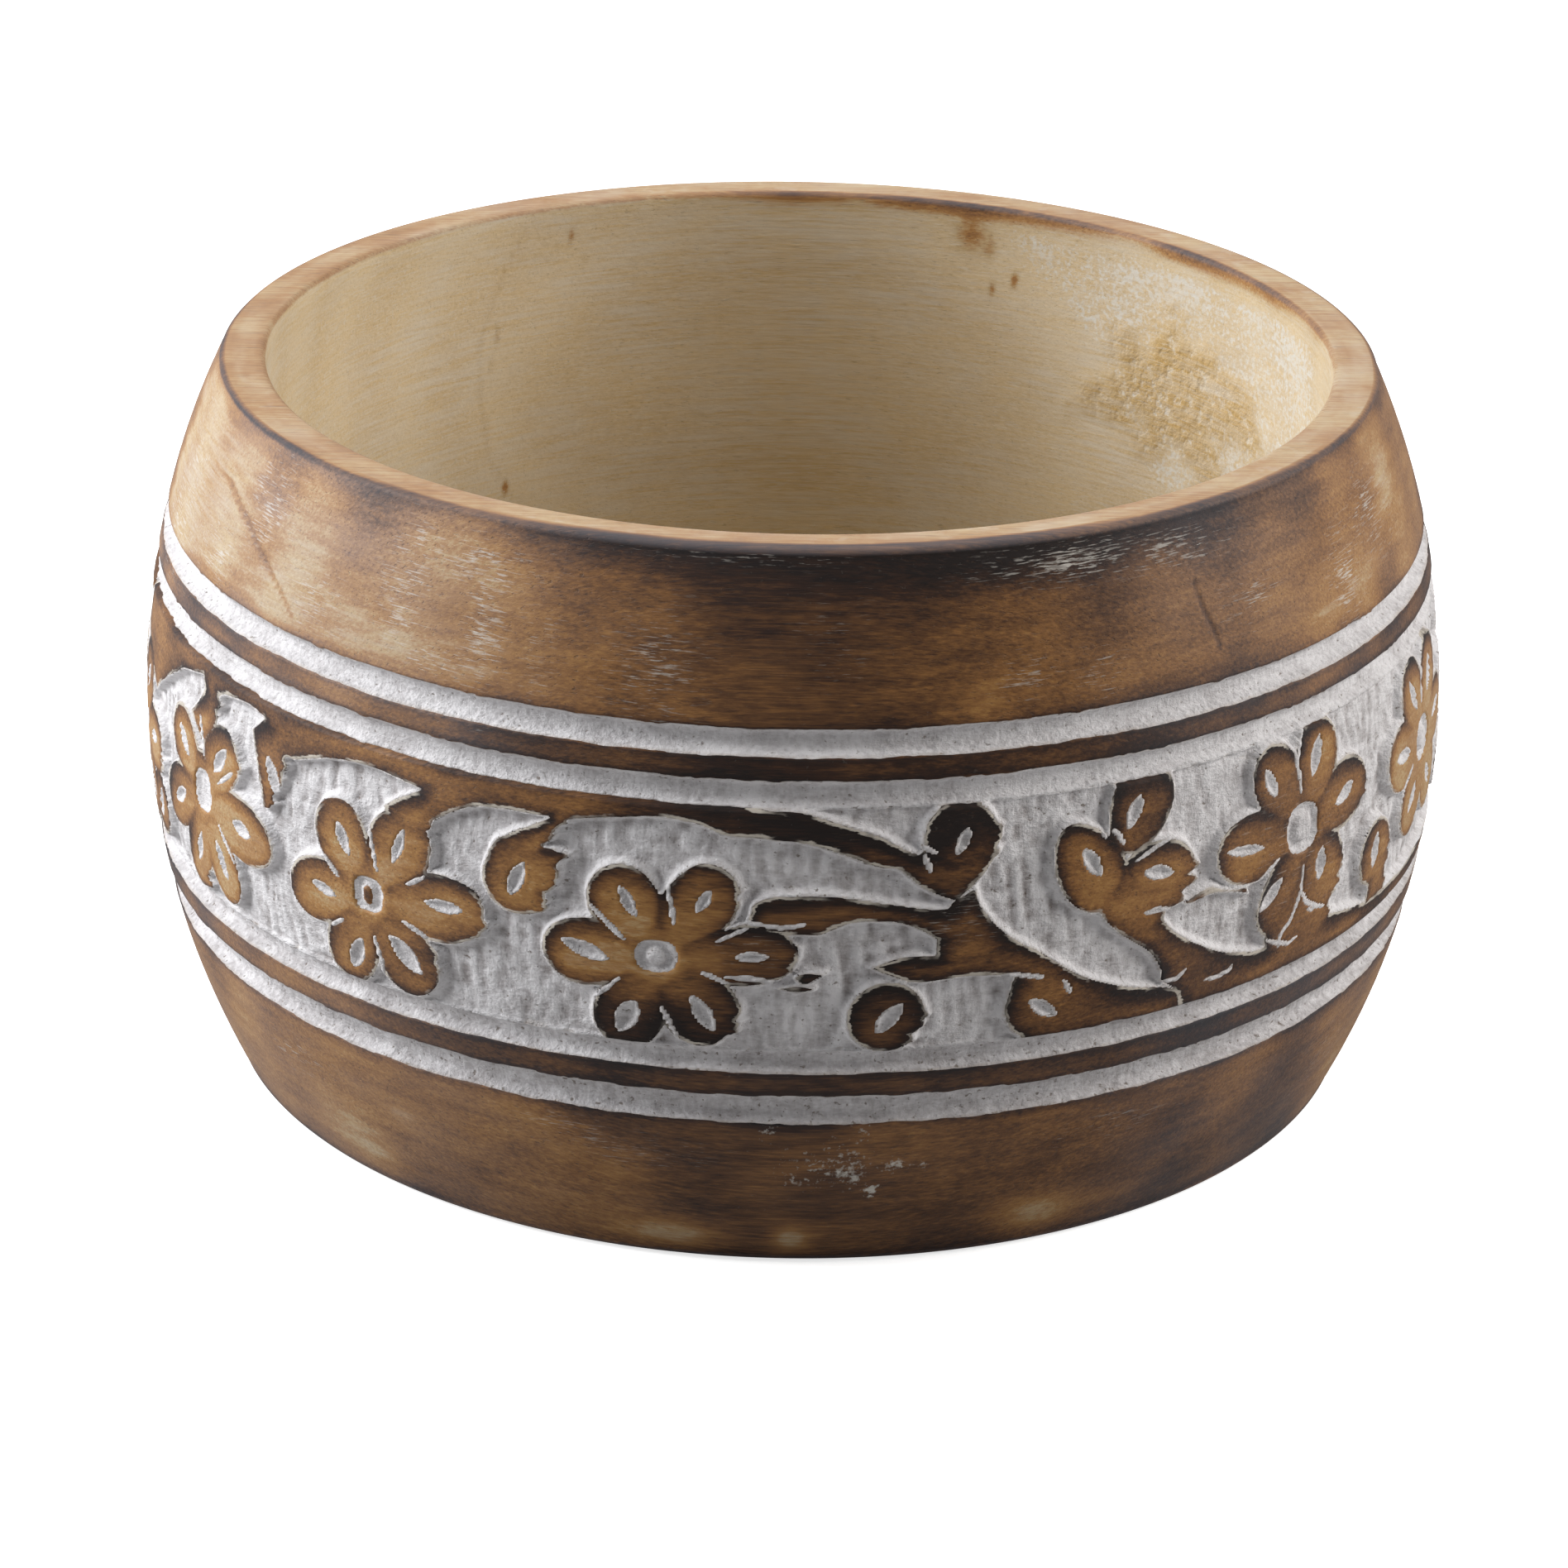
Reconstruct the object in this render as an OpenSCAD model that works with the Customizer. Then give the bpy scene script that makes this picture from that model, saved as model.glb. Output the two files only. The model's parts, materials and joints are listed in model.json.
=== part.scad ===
// Wide turned wooden bangle: a barrel-shaped wooden ring with a straight bore, four turned grooves
// and a carved floral band, with white filler wash left in every cut.
// Heights in the settings are measured from the ring's middle plane; the ring stands on z = 0.

/* [Ring] */
// Diameter of the straight bore
bore_d = 66.7; // [64:0.1:68]
// Outside diameter at both rims, before their edges are eased
rim_d = 72.1; // [71.6:0.1:74]
// Outside diameter at the middle plane
belly_d = 82.7; // [81:0.1:85]
// Height of the ring
ring_h = 45.4; // [42:0.1:50]
// Bevel on the bore's two edges
bore_ease = 0.4; // [0.2:0.05:0.6]
// Bevel on the two outer rim edges
rim_ease = 0.7; // [0.3:0.05:0.9]

/* [Grooves] */
// Depth of the turned grooves below the barrel surface
groove_depth = 0.9; // [0.6:0.05:1.2]
// How far each groove wall leans back from the floor to the lip
groove_lean = 0.25; // [0.1:0.05:0.4]
// Top groove, upper lip
top_groove_hi = 13.1; // [12.6:0.05:14]
// Top groove, lower lip
top_groove_lo = 11.5; // [11.3:0.05:11.9]
// Upper groove, upper lip: a bead of wood stays above it
upper_groove_hi = 10.2; // [10:0.05:10.6]
// Lower groove, lower lip: a bead of wood stays below it
lower_groove_lo = -8.1; // [-8.5:0.05:-8]
// Bottom groove, upper lip
bottom_groove_hi = -9.7; // [-10:0.05:-9.5]
// Bottom groove, lower lip
bottom_groove_lo = -11.7; // [-12.5:0.05:-11.2]

/* [Carved band] */
// Upper edge of the carved band, which is the lower lip of the upper groove
band_hi = 8.45; // [8.2:0.05:8.7]
// Lower edge of the carved band, which is the upper lip of the lower groove
band_lo = -6.5; // [-6.7:0.05:-6.3]
// Depth of the carved ground below the barrel surface
ground_depth = 0.9; // [0.7:0.05:1.3]
// Radius of a petal's round end
petal_r = 2.2; // [2.1:0.05:2.3]
// Distance from a flower's middle to the middle of a petal's round end
petal_reach = 4.1; // [3.9:0.05:4.2]
// Radius of the white eye cut into each flower
eye_r = 1.25; // [1:0.05:1.5]
// Length of the almond cut in each petal
seed_l = 2.4; // [2:0.1:2.8]
// Width of the almond cut in each petal
seed_w = 1; // [0.8:0.05:1.4]
// Depth of the eye and almond cuts below the barrel surface
cut_depth = 0.6; // [0.4:0.05:0.7]

/* [Wash] */
// Thickness of the white filler left on the floor of each cut
wash_t = 0.25; // [0.15:0.05:0.35]

/* [Hidden] */
$fn = 96;

wood = [0.52, 0.35, 0.19];
chalk = [0.80, 0.79, 0.76];

bore_r = bore_d / 2;
rim_r = rim_d / 2;
belly_r = belly_d / 2;
half_h = ring_h / 2;
sagitta = belly_r - rim_r;
// Radius of the one arc that the barrel's outline follows, and the distance of its centre from the axis
arc_r = (half_h * half_h + sagitta * sagitta) / (2 * sagitta);
arc_x = belly_r - arc_r;
// Prisms that carry the carved outlines run from inside the wood to clear of the surface
prism_in = belly_r - 6;
prism_out = belly_r + 1;
clear = 1;
bow_steps = 5;
// Wood left between the band's edges and the eye and almond cuts
cut_margin = 0.1;

// Flowers: place round the ring in degrees from the front, height, turn of the first petal
LOW_FLOWERS = [[-132.5, -0.7, 2], [-106.5, -0.6, 6], [-81, -0.5, 0], [-60, 0.4, -6], [-36.8, -0.6, 5],
               [-10.5, -0.7, 3]];
HIGH_FLOWERS = [[47.6, 2.5, 8], [71.1, 2.5, 4], [95.6, 2.4, 7], [120.2, 2.6, 3], [144.8, 2.5, 9],
                [169.4, 2.5, 172]];
FLOWERS = concat(LOW_FLOWERS, HIGH_FLOWERS);
// Round buds between the flowers: place, height, turn of the almond cut
LOW_BUDS = [[-119.5, 3, 70], [-94, 3, 65], [-22.4, 3, 70]];
HIGH_BUDS = [[59.7, -2, 85], [83.4, -2, 95], [108, -2, 85], [132.5, -2, 95], [157, -2, 85]];
BUDS = concat(LOW_BUDS, HIGH_BUDS);
bud_r = 2.1;
// The leaf spray is drawn about this place, and again, turned over left to right, at the back
SPRAY = 16;
SPRAY_BACK = 201;
// Buds of the spray, in its own degrees
SPRAY_BUDS = [[13.8, 6.4, 65], [8, -4.3, 55], [20.7, -4.4, -50], [29.4, 6.6, 50], [25.2, 4.3, -70],
              [31.4, 2.8, -15]];
// Places where the strips along the band's edges start and end
TOP_STRIP = [-143, 2];
BOTTOM_STRIP = [34, 183];
strip_w = 1.25;

// Outlines in the spray: each corner is [degrees, height, bow of the side that starts there]
LEAF_MASS = [[-9, 9.4, 0], [1, 9.4, 0.2], [10.4, 6, 0], [15.8, 5.2, 0.4], [14.8, 3.2, -1.8],
             [34.4, -6, 0], [34.4, -7.5, 0], [19.3, -7.5, 0], [18, -3.3, 0], [17.8, -2.1, 0],
             [6.4, -2.3, 0], [1.5, -1.5, 0], [1.2, 1.1, 0], [-5, 1.6, 0], [-5, 3.4, 0]];
LONG_GAP = [[-10, 7.2, 0.9], [13, 3, -0.7], [-4.6, 2.9, 0], [-10, 4, 0]];
MIDDLE_GAP = [[1.1, -1.3, 0], [1.1, 1, 1.3], [12.3, 0, 0]];
SMALL_GAP = [[2.6, -2.5, 0], [3.6, -1.4, 0.2], [8.4, -1.8, 0], [6, -2.6, 0]];
SPRIG_STEM = [[25.2, 2.4, 0], [26.4, 0.2, 0], [32, -4.4, 0], [34, -7.5, 0], [47, -7.5, 0],
              [43.8, -4.5, 0.9], [31, -0.1, 0], [33, 1, 0], [29, 4.6, 0]];
// Stems, in millimetres from the bud's middle
BUD_STEM_LOW = [[-1.6, -3.8], [-1.3, -1], [2.6, -1], [1.9, -3.8]];
BUD_STEM_HIGH = [[-0.9, 1], [1, 2.6], [2.2, 5.4], [4.6, 5.4], [1.8, 1]];

// Radius of the barrel surface at a height from the middle plane
function barrel_r(z) = arc_x + sqrt(arc_r * arc_r - z * z);

// A corner of the spray, from degrees and height to millimetres on the flat that faces it
function flat(p) = [belly_r * sin(p[0] - SPRAY), p[1]];

// Points along a side from a to b that bows out to the left of its run
function bowed(a, b, bow) =
    let (d = b - a, side = [-d[1], d[0]] / norm(d))
    [for (i = [0 : (bow == 0 ? 0 : bow_steps - 1)])
        let (t = i / bow_steps) a + d * t + side * (4 * bow * t * (1 - t))];

function outline(corners) =
    [for (i = [0 : len(corners) - 1])
        each bowed(flat(corners[i]), flat(corners[(i + 1) % len(corners)]), corners[i][2])];

// Stands its children on the ring's middle plane
module at_middle() {
    translate([0, 0, half_h])
        children();
}

// Pushes a flat outline out through the barrel wall at a place round the ring
module through_wall(place) {
    rotate([0, 0, place])
        translate([0, -prism_in, 0])
            rotate([90, 0, 0])
                linear_extrude(height = prism_out - prism_in)
                    children();
}

// Section between two depths below the barrel surface and two heights
module skin_section(deep, shallow, low, high) {
    intersection() {
        difference() {
            translate([arc_x, 0])
                circle(r = arc_r - shallow);
            translate([arc_x, 0])
                circle(r = arc_r - deep);
        }
        translate([bore_r, low])
            square([belly_r - bore_r + 2 * clear, high - low]);
    }
}

module skin(deep, shallow, low, high) {
    rotate_extrude()
        skin_section(deep, shallow, low, high);
}

// Part of such a ring, from one place to another
module skin_arc(deep, shallow, low, high, from, to) {
    rotate([0, 0, from - 90])
        rotate_extrude(angle = to - from)
            skin_section(deep, shallow, low, high);
}

// Radius of a groove's floor
function floor_r(low, high) = barrel_r((low + high) / 2) - groove_depth;

// Section of a groove, from its floor out past the lips
module groove_section(low, high) {
    floor = floor_r(low, high);
    lip = floor + groove_depth + clear;
    out = groove_lean * clear / groove_depth;
    polygon([[floor, low + groove_lean], [lip, low - out], [lip, high + out], [floor, high - groove_lean]]);
}

// Filler lying on a groove's floor
module groove_wash(low, high) {
    floor = floor_r(low, high);
    lean = groove_lean * wash_t / groove_depth;
    color(chalk)
        at_middle()
            rotate_extrude()
                polygon([[floor, low + groove_lean], [floor + wash_t, low + groove_lean - lean],
                         [floor + wash_t, high - groove_lean + lean], [floor, high - groove_lean]]);
}

// Section of the turned ring: barrel arc, straight bore, eased edges and grooves
module ring_section() {
    difference() {
        intersection() {
            translate([arc_x, 0])
                circle(r = arc_r);
            translate([bore_r, -half_h])
                square([belly_r, ring_h]);
        }
        for (side = [-1, 1]) {
            polygon([[bore_r - clear, side * (half_h - bore_ease - clear)],
                     [bore_r - clear, side * (half_h + clear)],
                     [bore_r + bore_ease + clear, side * (half_h + clear)]]);
            polygon([[rim_r + clear, side * (half_h - rim_ease - clear)],
                     [rim_r + clear, side * (half_h + clear)],
                     [rim_r - rim_ease - clear, side * (half_h + clear)]]);
        }
        groove_section(top_groove_lo, top_groove_hi);
        groove_section(band_hi, upper_groove_hi);
        groove_section(lower_groove_lo, band_lo);
        groove_section(bottom_groove_lo, bottom_groove_hi);
    }
}

module almond() {
    swell = (seed_l * seed_l + seed_w * seed_w) / (4 * seed_w);
    intersection() {
        translate([0, swell - seed_w / 2])
            circle(r = swell);
        translate([0, seed_w / 2 - swell])
            circle(r = swell);
    }
}

module flower_outline() {
    circle(r = petal_reach * 0.72);
    for (i = [0 : 5])
        rotate(60 * i)
            translate([petal_reach, 0])
                circle(r = petal_r);
}

// A round bud and the stem that ties it to the strip at the band's edge
module stemmed_bud(bud, stem) {
    through_wall(bud[0])
        translate([0, bud[1]]) {
            circle(r = bud_r);
            polygon(stem);
        }
}

// What stands proud in the carved band, as prisms that run out through the wall
module flowers() {
    for (f = FLOWERS)
        through_wall(f[0])
            translate([0, f[1]])
                rotate(f[2])
                    flower_outline();
}

module buds() {
    for (b = LOW_BUDS)
        stemmed_bud(b, BUD_STEM_HIGH);
    for (b = HIGH_BUDS)
        stemmed_bud(b, BUD_STEM_LOW);
}

module edge_strips() {
    skin_arc(ground_depth + clear, -clear, band_hi - strip_w, band_hi + clear, TOP_STRIP[0], TOP_STRIP[1]);
    skin_arc(ground_depth + clear, -clear, band_lo - clear, band_lo + strip_w, BOTTOM_STRIP[0],
             BOTTOM_STRIP[1]);
}

// Puts the spray's parts at the front, and turned over left to right at the back
module in_sprays() {
    for (place = [SPRAY, SPRAY_BACK])
        rotate([0, 0, place])
            mirror([place == SPRAY_BACK ? 1 : 0, 0, 0])
                children();
}

module spray() {
    through_wall(0) {
        difference() {
            polygon(outline(LEAF_MASS));
            polygon(outline(LONG_GAP));
            polygon(outline(MIDDLE_GAP));
            polygon(outline(SMALL_GAP));
        }
        polygon(outline(SPRIG_STEM));
    }
    for (b = SPRAY_BUDS)
        through_wall(b[0] - SPRAY)
            translate([0, b[1]])
                circle(r = bud_r);
}

// The carved ground between two depths: the band less all that stands proud in it
module ground(deep, shallow) {
    difference() {
        skin(deep, shallow, band_lo, band_hi);
        flowers();
        buds();
        edge_strips();
        in_sprays()
            spray();
    }
}

// Prisms of the almond cuts, in every petal and bud
module petal_cuts() {
    for (f = FLOWERS)
        for (i = [0 : 5])
            through_wall(f[0])
                translate([0, f[1]])
                    rotate(f[2] + 60 * i)
                        translate([petal_reach, 0])
                            almond();
    for (b = BUDS)
        through_wall(b[0])
            translate([0, b[1]])
                rotate(b[2])
                    almond();
    in_sprays()
        for (b = SPRAY_BUDS)
            through_wall(b[0] - SPRAY)
                translate([0, b[1]])
                    rotate(b[2])
                        almond();
}

module flower_eyes() {
    for (f = FLOWERS)
        through_wall(f[0])
            translate([0, f[1]])
                circle(r = eye_r);
}

// The one piece of wood: turned ring, band carved down to its ground, almond and eye cuts
module wooden_ring() {
    color(wood)
        at_middle()
            difference() {
                rotate_extrude()
                    ring_section();
                ground(ground_depth, -clear);
                intersection() {
                    skin(cut_depth, -clear, band_lo + cut_margin, band_hi - cut_margin);
                    union() {
                        flower_eyes();
                        petal_cuts();
                    }
                }
            }
}

module top_groove_wash() {
    groove_wash(top_groove_lo, top_groove_hi);
}

module upper_groove_wash() {
    groove_wash(band_hi, upper_groove_hi);
}

module lower_groove_wash() {
    groove_wash(lower_groove_lo, band_lo);
}

module bottom_groove_wash() {
    groove_wash(bottom_groove_lo, bottom_groove_hi);
}

// Filler on the floor of the carved ground, round the motifs
module ground_wash() {
    color(chalk)
        at_middle()
            ground(ground_depth, ground_depth - wash_t);
}

module flower_eye_wash() {
    color(chalk)
        at_middle()
            intersection() {
                skin(cut_depth, cut_depth - wash_t, band_lo, band_hi);
                flower_eyes();
            }
}

module petal_cut_wash() {
    color(chalk)
        at_middle()
            intersection() {
                skin(cut_depth, cut_depth - wash_t, band_lo + cut_margin, band_hi - cut_margin);
                petal_cuts();
            }
}

wooden_ring();
top_groove_wash();
upper_groove_wash();
ground_wash();
lower_groove_wash();
bottom_groove_wash();
flower_eye_wash();
petal_cut_wash();
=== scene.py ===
"""Wide carved wooden bangle: one turned and carved ring of wood, with white filler wash left in its cuts.

The outside is one fine grid round the ring. Formulas say how deep each point of it is cut and how thick the
wash lies there, so the carving and the wash are true geometry. Lengths are in millimetres until a mesh is
made, angles are degrees round the ring (0 at the front, positive to the right), and heights are from the
ring's middle plane.
"""
import json
import math

import bpy
import numpy as np
from mathutils import Matrix, Vector


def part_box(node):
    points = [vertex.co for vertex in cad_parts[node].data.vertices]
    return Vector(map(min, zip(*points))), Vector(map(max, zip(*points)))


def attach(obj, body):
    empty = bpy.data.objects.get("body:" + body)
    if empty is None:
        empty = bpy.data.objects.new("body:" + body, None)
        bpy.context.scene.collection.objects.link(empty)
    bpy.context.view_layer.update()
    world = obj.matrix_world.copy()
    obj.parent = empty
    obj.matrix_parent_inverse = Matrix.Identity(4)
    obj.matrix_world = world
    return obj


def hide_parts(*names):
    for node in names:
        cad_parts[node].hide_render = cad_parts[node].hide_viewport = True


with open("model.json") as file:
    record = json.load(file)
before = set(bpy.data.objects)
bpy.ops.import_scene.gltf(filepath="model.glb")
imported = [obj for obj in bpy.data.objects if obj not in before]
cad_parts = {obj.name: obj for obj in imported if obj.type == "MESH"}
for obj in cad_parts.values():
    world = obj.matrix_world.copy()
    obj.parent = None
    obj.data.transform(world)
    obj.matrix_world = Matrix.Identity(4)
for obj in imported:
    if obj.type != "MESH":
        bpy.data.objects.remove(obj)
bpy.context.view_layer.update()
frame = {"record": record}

MM = 0.001

# ---- sizes from the frame
RING_LOW, RING_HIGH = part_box("wooden_ring")
RING_H = (RING_HIGH[2] - RING_LOW[2]) / MM
BELLY_R = (RING_HIGH[0] - RING_LOW[0]) / 2 / MM
BORE_R = next(m["dims"]["r_mm"] for m in frame["record"]["mounts"] if m["name"] == "bore")
HALF_H = RING_H / 2
RIM_R = 36.05
SAGITTA = BELLY_R - RIM_R
ARC_R = (HALF_H**2 + SAGITTA**2) / (2 * SAGITTA)
GIRTH = 2 * math.pi * BELLY_R
MM_PER_DEG = GIRTH / 360

# ---- grid
COLS = 1530
FINE_STEP, PLAIN_STEP, BORE_STEP = 0.125, 0.22, 0.9
FINE_LOW, FINE_HIGH = -12.6, 13.9
RIM_ROUND, BORE_ROUND = 0.4, 0.4
NOISE_ROWS = 509

THETA = np.arange(COLS) * 360 / COLS - 180
TOP_OF_WALL = HALF_H - RIM_ROUND
HEIGHT = np.concatenate([
    np.linspace(-TOP_OF_WALL, FINE_LOW, round((TOP_OF_WALL + FINE_LOW) / PLAIN_STEP), endpoint=False),
    np.arange(FINE_LOW, FINE_HIGH, FINE_STEP),
    np.linspace(FINE_HIGH, TOP_OF_WALL, round((TOP_OF_WALL - FINE_HIGH) / PLAIN_STEP)),
])
DEG, Z = np.meshgrid(THETA, HEIGHT)

# ---- carved design
BAND_LOW, BAND_HIGH = -6.5, 8.45
# Grooves: lower lip, upper lip, depth of the cove, roughness of its floor, how much its wash is darkened and
# speckled
GROOVES = {
    "top_groove_wash": (11.5, 13.1, 0.85, 0.2, 0.15),
    "upper_groove_wash": (BAND_HIGH, 10.2, 0.85, 0.35, 0.2),
    "lower_groove_wash": (-8.1, BAND_LOW, 0.85, 1.0, 0.75),
    "bottom_groove_wash": (-11.7, -9.7, 0.9, 1.0, 0.85),
}
GROUND_DEPTH, CUT_DEPTH, SLIT_HALF = 0.66, 0.5, 0.08
# How far in from its lip each kind of cut reaches its full depth
GROUND_WALL, GROOVE_WALL, EYE_WALL, CUT_WALL = 0.36, 0.6, 0.4, 0.5
HUB_R = 2.7
NUB_RISE = 0.3
CRACK_HALF, CRACK_DEPTH = 0.11, 0.12
STRIP_TOP, STRIP_FOOT = 7.7, -5.3
# The ground runs this far past the band's edges, and the fine cuts stay this far inside them
BAND_OVERLAP, CUT_MARGIN = 0.25, 0.35

# Flowers: place, height, half width and height of the eye, radius of the raised nub in it, petals (turn,
# reach, half width), almond cuts (x, y, turn, length, width) and the white lines between petals (x, y
# points). An empty list of cuts asks for a plain cut in every petal.
PLAIN_PETALS = [(5, 7.4, 2.15), (62, 6.7, 2.2), (122, 6.5, 2.2), (184, 7.2, 2.1), (244, 6.6, 2.15),
                (304, 6.7, 2.25)]
FLOWERS = [
    (-60, 0.5, 1.2, 1.45, 0.0,
     [(-8, 8.5, 2.1), (50, 6.1, 2.15), (143, 6.2, 1.95), (204, 6.9, 2.05), (258, 6.9, 1.9), (301, 7.3, 1.9)],
     [], [[(0.3, 2.2), (-0.6, 4.6)], [(2.1, 1.2), (4, 2.6)], [(2.2, -1.5), (3.9, -3.3)]]),
    (-36.8, -0.6, 1.15, 1.15, 0.0,
     [(5, 8.45, 2.2), (57, 6.8, 2.3), (124, 6.2, 2.1), (192, 6.8, 2.1), (249, 6.5, 2.1), (309, 6.9, 2.35)],
     [(5.57, 0.71, -1, 2.6, 0.7), (2.3, 3.7, 71, 2.3, 0.6), (-2, 3.05, 120, 2, 0.72),
      (-3.63, -0.67, -10.6, 1.9, 0.6), (-1.1, -4.15, 67, 2.3, 1), (2.7, -3.17, -41.6, 3, 1.15)],
     [[(0.03, 4.37), (0.7, 1.77)], [(-3.55, 1.5), (-2.38, 0.54)], [(-3.05, -2.86), (-2.1, -2.24)],
      [(0.37, -2.69), (0.87, -4.26), (0.8, -5.7)], [(2.5, -0.93), (4.37, -1.63)],
      [(3.03, 1.5), (4.2, 2.26)]]),
    (-10.6, -0.75, 1.3, 1.05, 0.55,
     [(5, 8.35, 1.95), (54, 7, 2.1), (121, 6.1, 2.2), (183, 6.9, 2.15), (247, 6.6, 2.15), (309, 6.6, 2.4)],
     [(5.54, 0.37, 2, 1.95, 0.55), (2.77, 3.68, 60, 1.5, 0.6), (-1.69, 3.26, 119, 1.95, 0.65),
      (-4.28, -0.04, -18, 3, 0.85), (-1.75, -4.07, 64, 2.3, 1.25), (2.75, -3.42, -58.6, 2.5, 0.95)],
     [[(0.6, 4.54), (1.08, 2.17)], [(-3.98, 2.83), (-1.87, 0.86)], [(3.55, 1.25), (5.24, 2.17)],
      [(2.77, -0.79), (4.2, -1.4)], [(0.24, -3.1), (1.2, -5.07)], [(-2.17, -1.64), (-3.9, -3.2)]]),
    (47.6, 2.5, 1.5, 1.6, 0.85,
     [(13, 7.1, 2.15), (70, 6.8, 2.2), (122, 6.7, 2.1), (180, 7.5, 2.25), (243, 6.9, 1.85),
      (302, 6.4, 2.35)],
     [(4.3, 0.9, 24, 2.1, 0.8), (1.4, 4.2, 68, 2.5, 0.9), (-2.9, 3.6, -66, 1.9, 0.7),
      (-5.1, 0.03, -9, 2.8, 0.55), (-2.75, -3.5, 42, 2.4, 0.8), (1.9, -2.84, 87, 2.1, 0.9)],
     [[(-0.7, 5.9), (-0.14, 2.25)], [(0.2, 6.6), (-0.35, 4.4)], [(-2.2, -1.3), (-4.3, -2.6), (-4.9, -3.3)],
      [(0.1, -2.5), (0.1, -4), (-0.3, -5), (-0.75, -5.9), (-1.5, -6.5), (-1.6, -7.3)]]),
    (71.1, 2.5, 1.45, 1.45, 0.8,
     [(8, 6.8, 2.1), (62, 6.8, 2.2), (120, 6.6, 2.2), (176, 6.9, 2.25), (236, 6.4, 2.1), (300, 5.9, 2.2)],
     [], [[(-0.2, 2.4), (0.1, 4.6)], [(-2.3, -1), (-4, -2)]]),
]
PLAIN_LINES = [[(0.2, 2.2), (0, 4.4)], [(-2.2, 1.2), (-4, 2.1)]]
FLOWERS += [(place, height, 1.3, 1.3, 0.6, PLAIN_PETALS, [], PLAIN_LINES)
            for place, height in [(-132.5, -0.7), (-106.5, -0.6), (-81, -0.5), (95.6, 2.4), (120.2, 2.6),
                                  (144.8, 2.5), (169.4, 2.5)]]
# A sliver of bare wood stands in the eye of the second flower
EYE_SLIVER = (-36.8, -0.6, 0.33, 0.55)

# Buds: place, height, radius, and the almond cut in each: place, height, turn, length, width
BUDS = [(-22.4, 2.9, 2.25, -22.4, 2.9, 70, 2.3, 0.85), (13.9, 6.6, 2.3, 14, 6.48, 65, 1.7, 0.6),
        (8, -4.3, 2.35, 8.2, -4.39, 52, 2.3, 0.95), (20.9, -4.4, 2.25, 21.2, -4.64, -35, 2.2, 0.8)]
BUDS += [(place, height, 2.15, place, height, turn, 2.3, 0.9) for place, height, turn in
         [(59.7, -1.9, 85), (-73, -4, 70), (83.4, -1.9, 95), (108, -2, 85), (132.5, -1.9, 95), (157, -2, 85),
          (-94, 3, 65), (-119.5, 3, 70)]]
# Petals of the sprig: place, height, half length, half width, turn, and their almond cut's place and height
SPRIG_PETALS = [
    (29.6, 6.9, 2.9, 2.15, 62, 29.1, 6.77), (24.9, 3.9, 3.1, 2.2, -58, 25.1, 4.18),
    (31.3, 2.7, 2.75, 2.1, -12, 31.4, 2.73),
]
SPRIG_CUT = (2.1, 0.8)
# One more almond cut, in the pendant of the left strip: place, height, turn, length, width
PENDANT_CUT = (-48.4, 4.31, -59, 2.7, 0.9)

# Closed outlines that stand proud, in degrees and height. Gentle corners are rounded off.
STRIP_A = [
    (-81, 9.6), (-81, 6), (-76, 4.4), (-73.4, 3.5), (-71, 4.75), (-66.8, 6.5), (-65.1, 7.1), (-61, 7.75),
    (-60.4, 7), (-61.4, 6), (-63, 5), (-60, 3.5), (-57.6, 5.2), (-57.5, 6.3), (-57.8, 7.15), (-55.8, 7.65),
    (-54, 7.85), (-54, 9.6),
]
STRIP_B = [
    (-58.2, 9.6), (-57.8, 7.2), (-55.8, 7.6), (-52.6, 7.85), (-50.2, 7.6), (-51.9, 6.55), (-51.3, 5.5),
    (-50.2, 3.5), (-49.6, 2.1), (-48.5, 2.2), (-48.1, 3.3), (-47.2, 4), (-46.6, 5.6), (-45, 6.15),
    (-41.9, 6.9), (-39.1, 7.25), (-35.7, 7.3), (-31.7, 6.95), (-27, 7), (-27, 9.6),
]
NECK_B = [
    (-32.2, 9.6), (-31.7, 6.9), (-33.6, 6.2), (-35.3, 5.3), (-33.5, 3.5), (-30.6, 4.6), (-30.2, 5.25),
    (-28.8, 5.9), (-26.3, 6.7), (-23.6, 6.9), (-19.8, 6.95), (-15, 7.6), (-15, 9.6),
]
NECK_BUD = [
    (-20.5, 9.6), (-19.8, 6.9), (-21.1, 6.4), (-23.2, 5.6), (-24.6, 4.9), (-25.4, 3.4), (-22.5, 2.5),
    (-19.4, 2.6), (-18.7, 4.2), (-17.5, 4.9), (-19.9, 5.2), (-19, 6), (-17.9, 6.8), (-15.6, 7.3),
    (-10.1, 7.75), (-5, 7.6), (-5, 9.6),
]
DARK_LEAF = [
    (-10.6, 9.6), (-10.1, 7.75), (-7.3, 7.5), (-5.2, 6.9), (-2.1, 6.8), (1.4, 6.6), (4.3, 5.9), (7, 5.2),
    (8.8, 4.95), (10.2, 4), (11.9, 3.3), (13.3, 2.9), (15.2, 4), (16.9, 5.5), (10.9, 6.2), (10.4, 5.85),
    (9.4, 6.15), (7.2, 7), (4.4, 7.7), (1.5, 8.35), (-1, 8.57), (-3.5, 8.72), (-6, 9.6),
]
LONG_LEAF = [
    (-3.4, 1.5), (-3.1, 2.3), (-2.7, 3), (-1.2, 3.45), (2.5, 3.54), (5.1, 3.38), (8, 2.96), (12.3, 2.5),
    (13.2, 2.9), (15, 3.6), (16, 1.9), (18.4, 0.1), (13, -1), (12.3, -0.41), (12.1, 0.34), (11.1, 0.98),
    (9.2, 1.64), (6.9, 1.85), (5.1, 1.81), (4, 1.47), (2.5, 1.04), (1.1, 1.04), (-1, 1.1),
]
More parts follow.
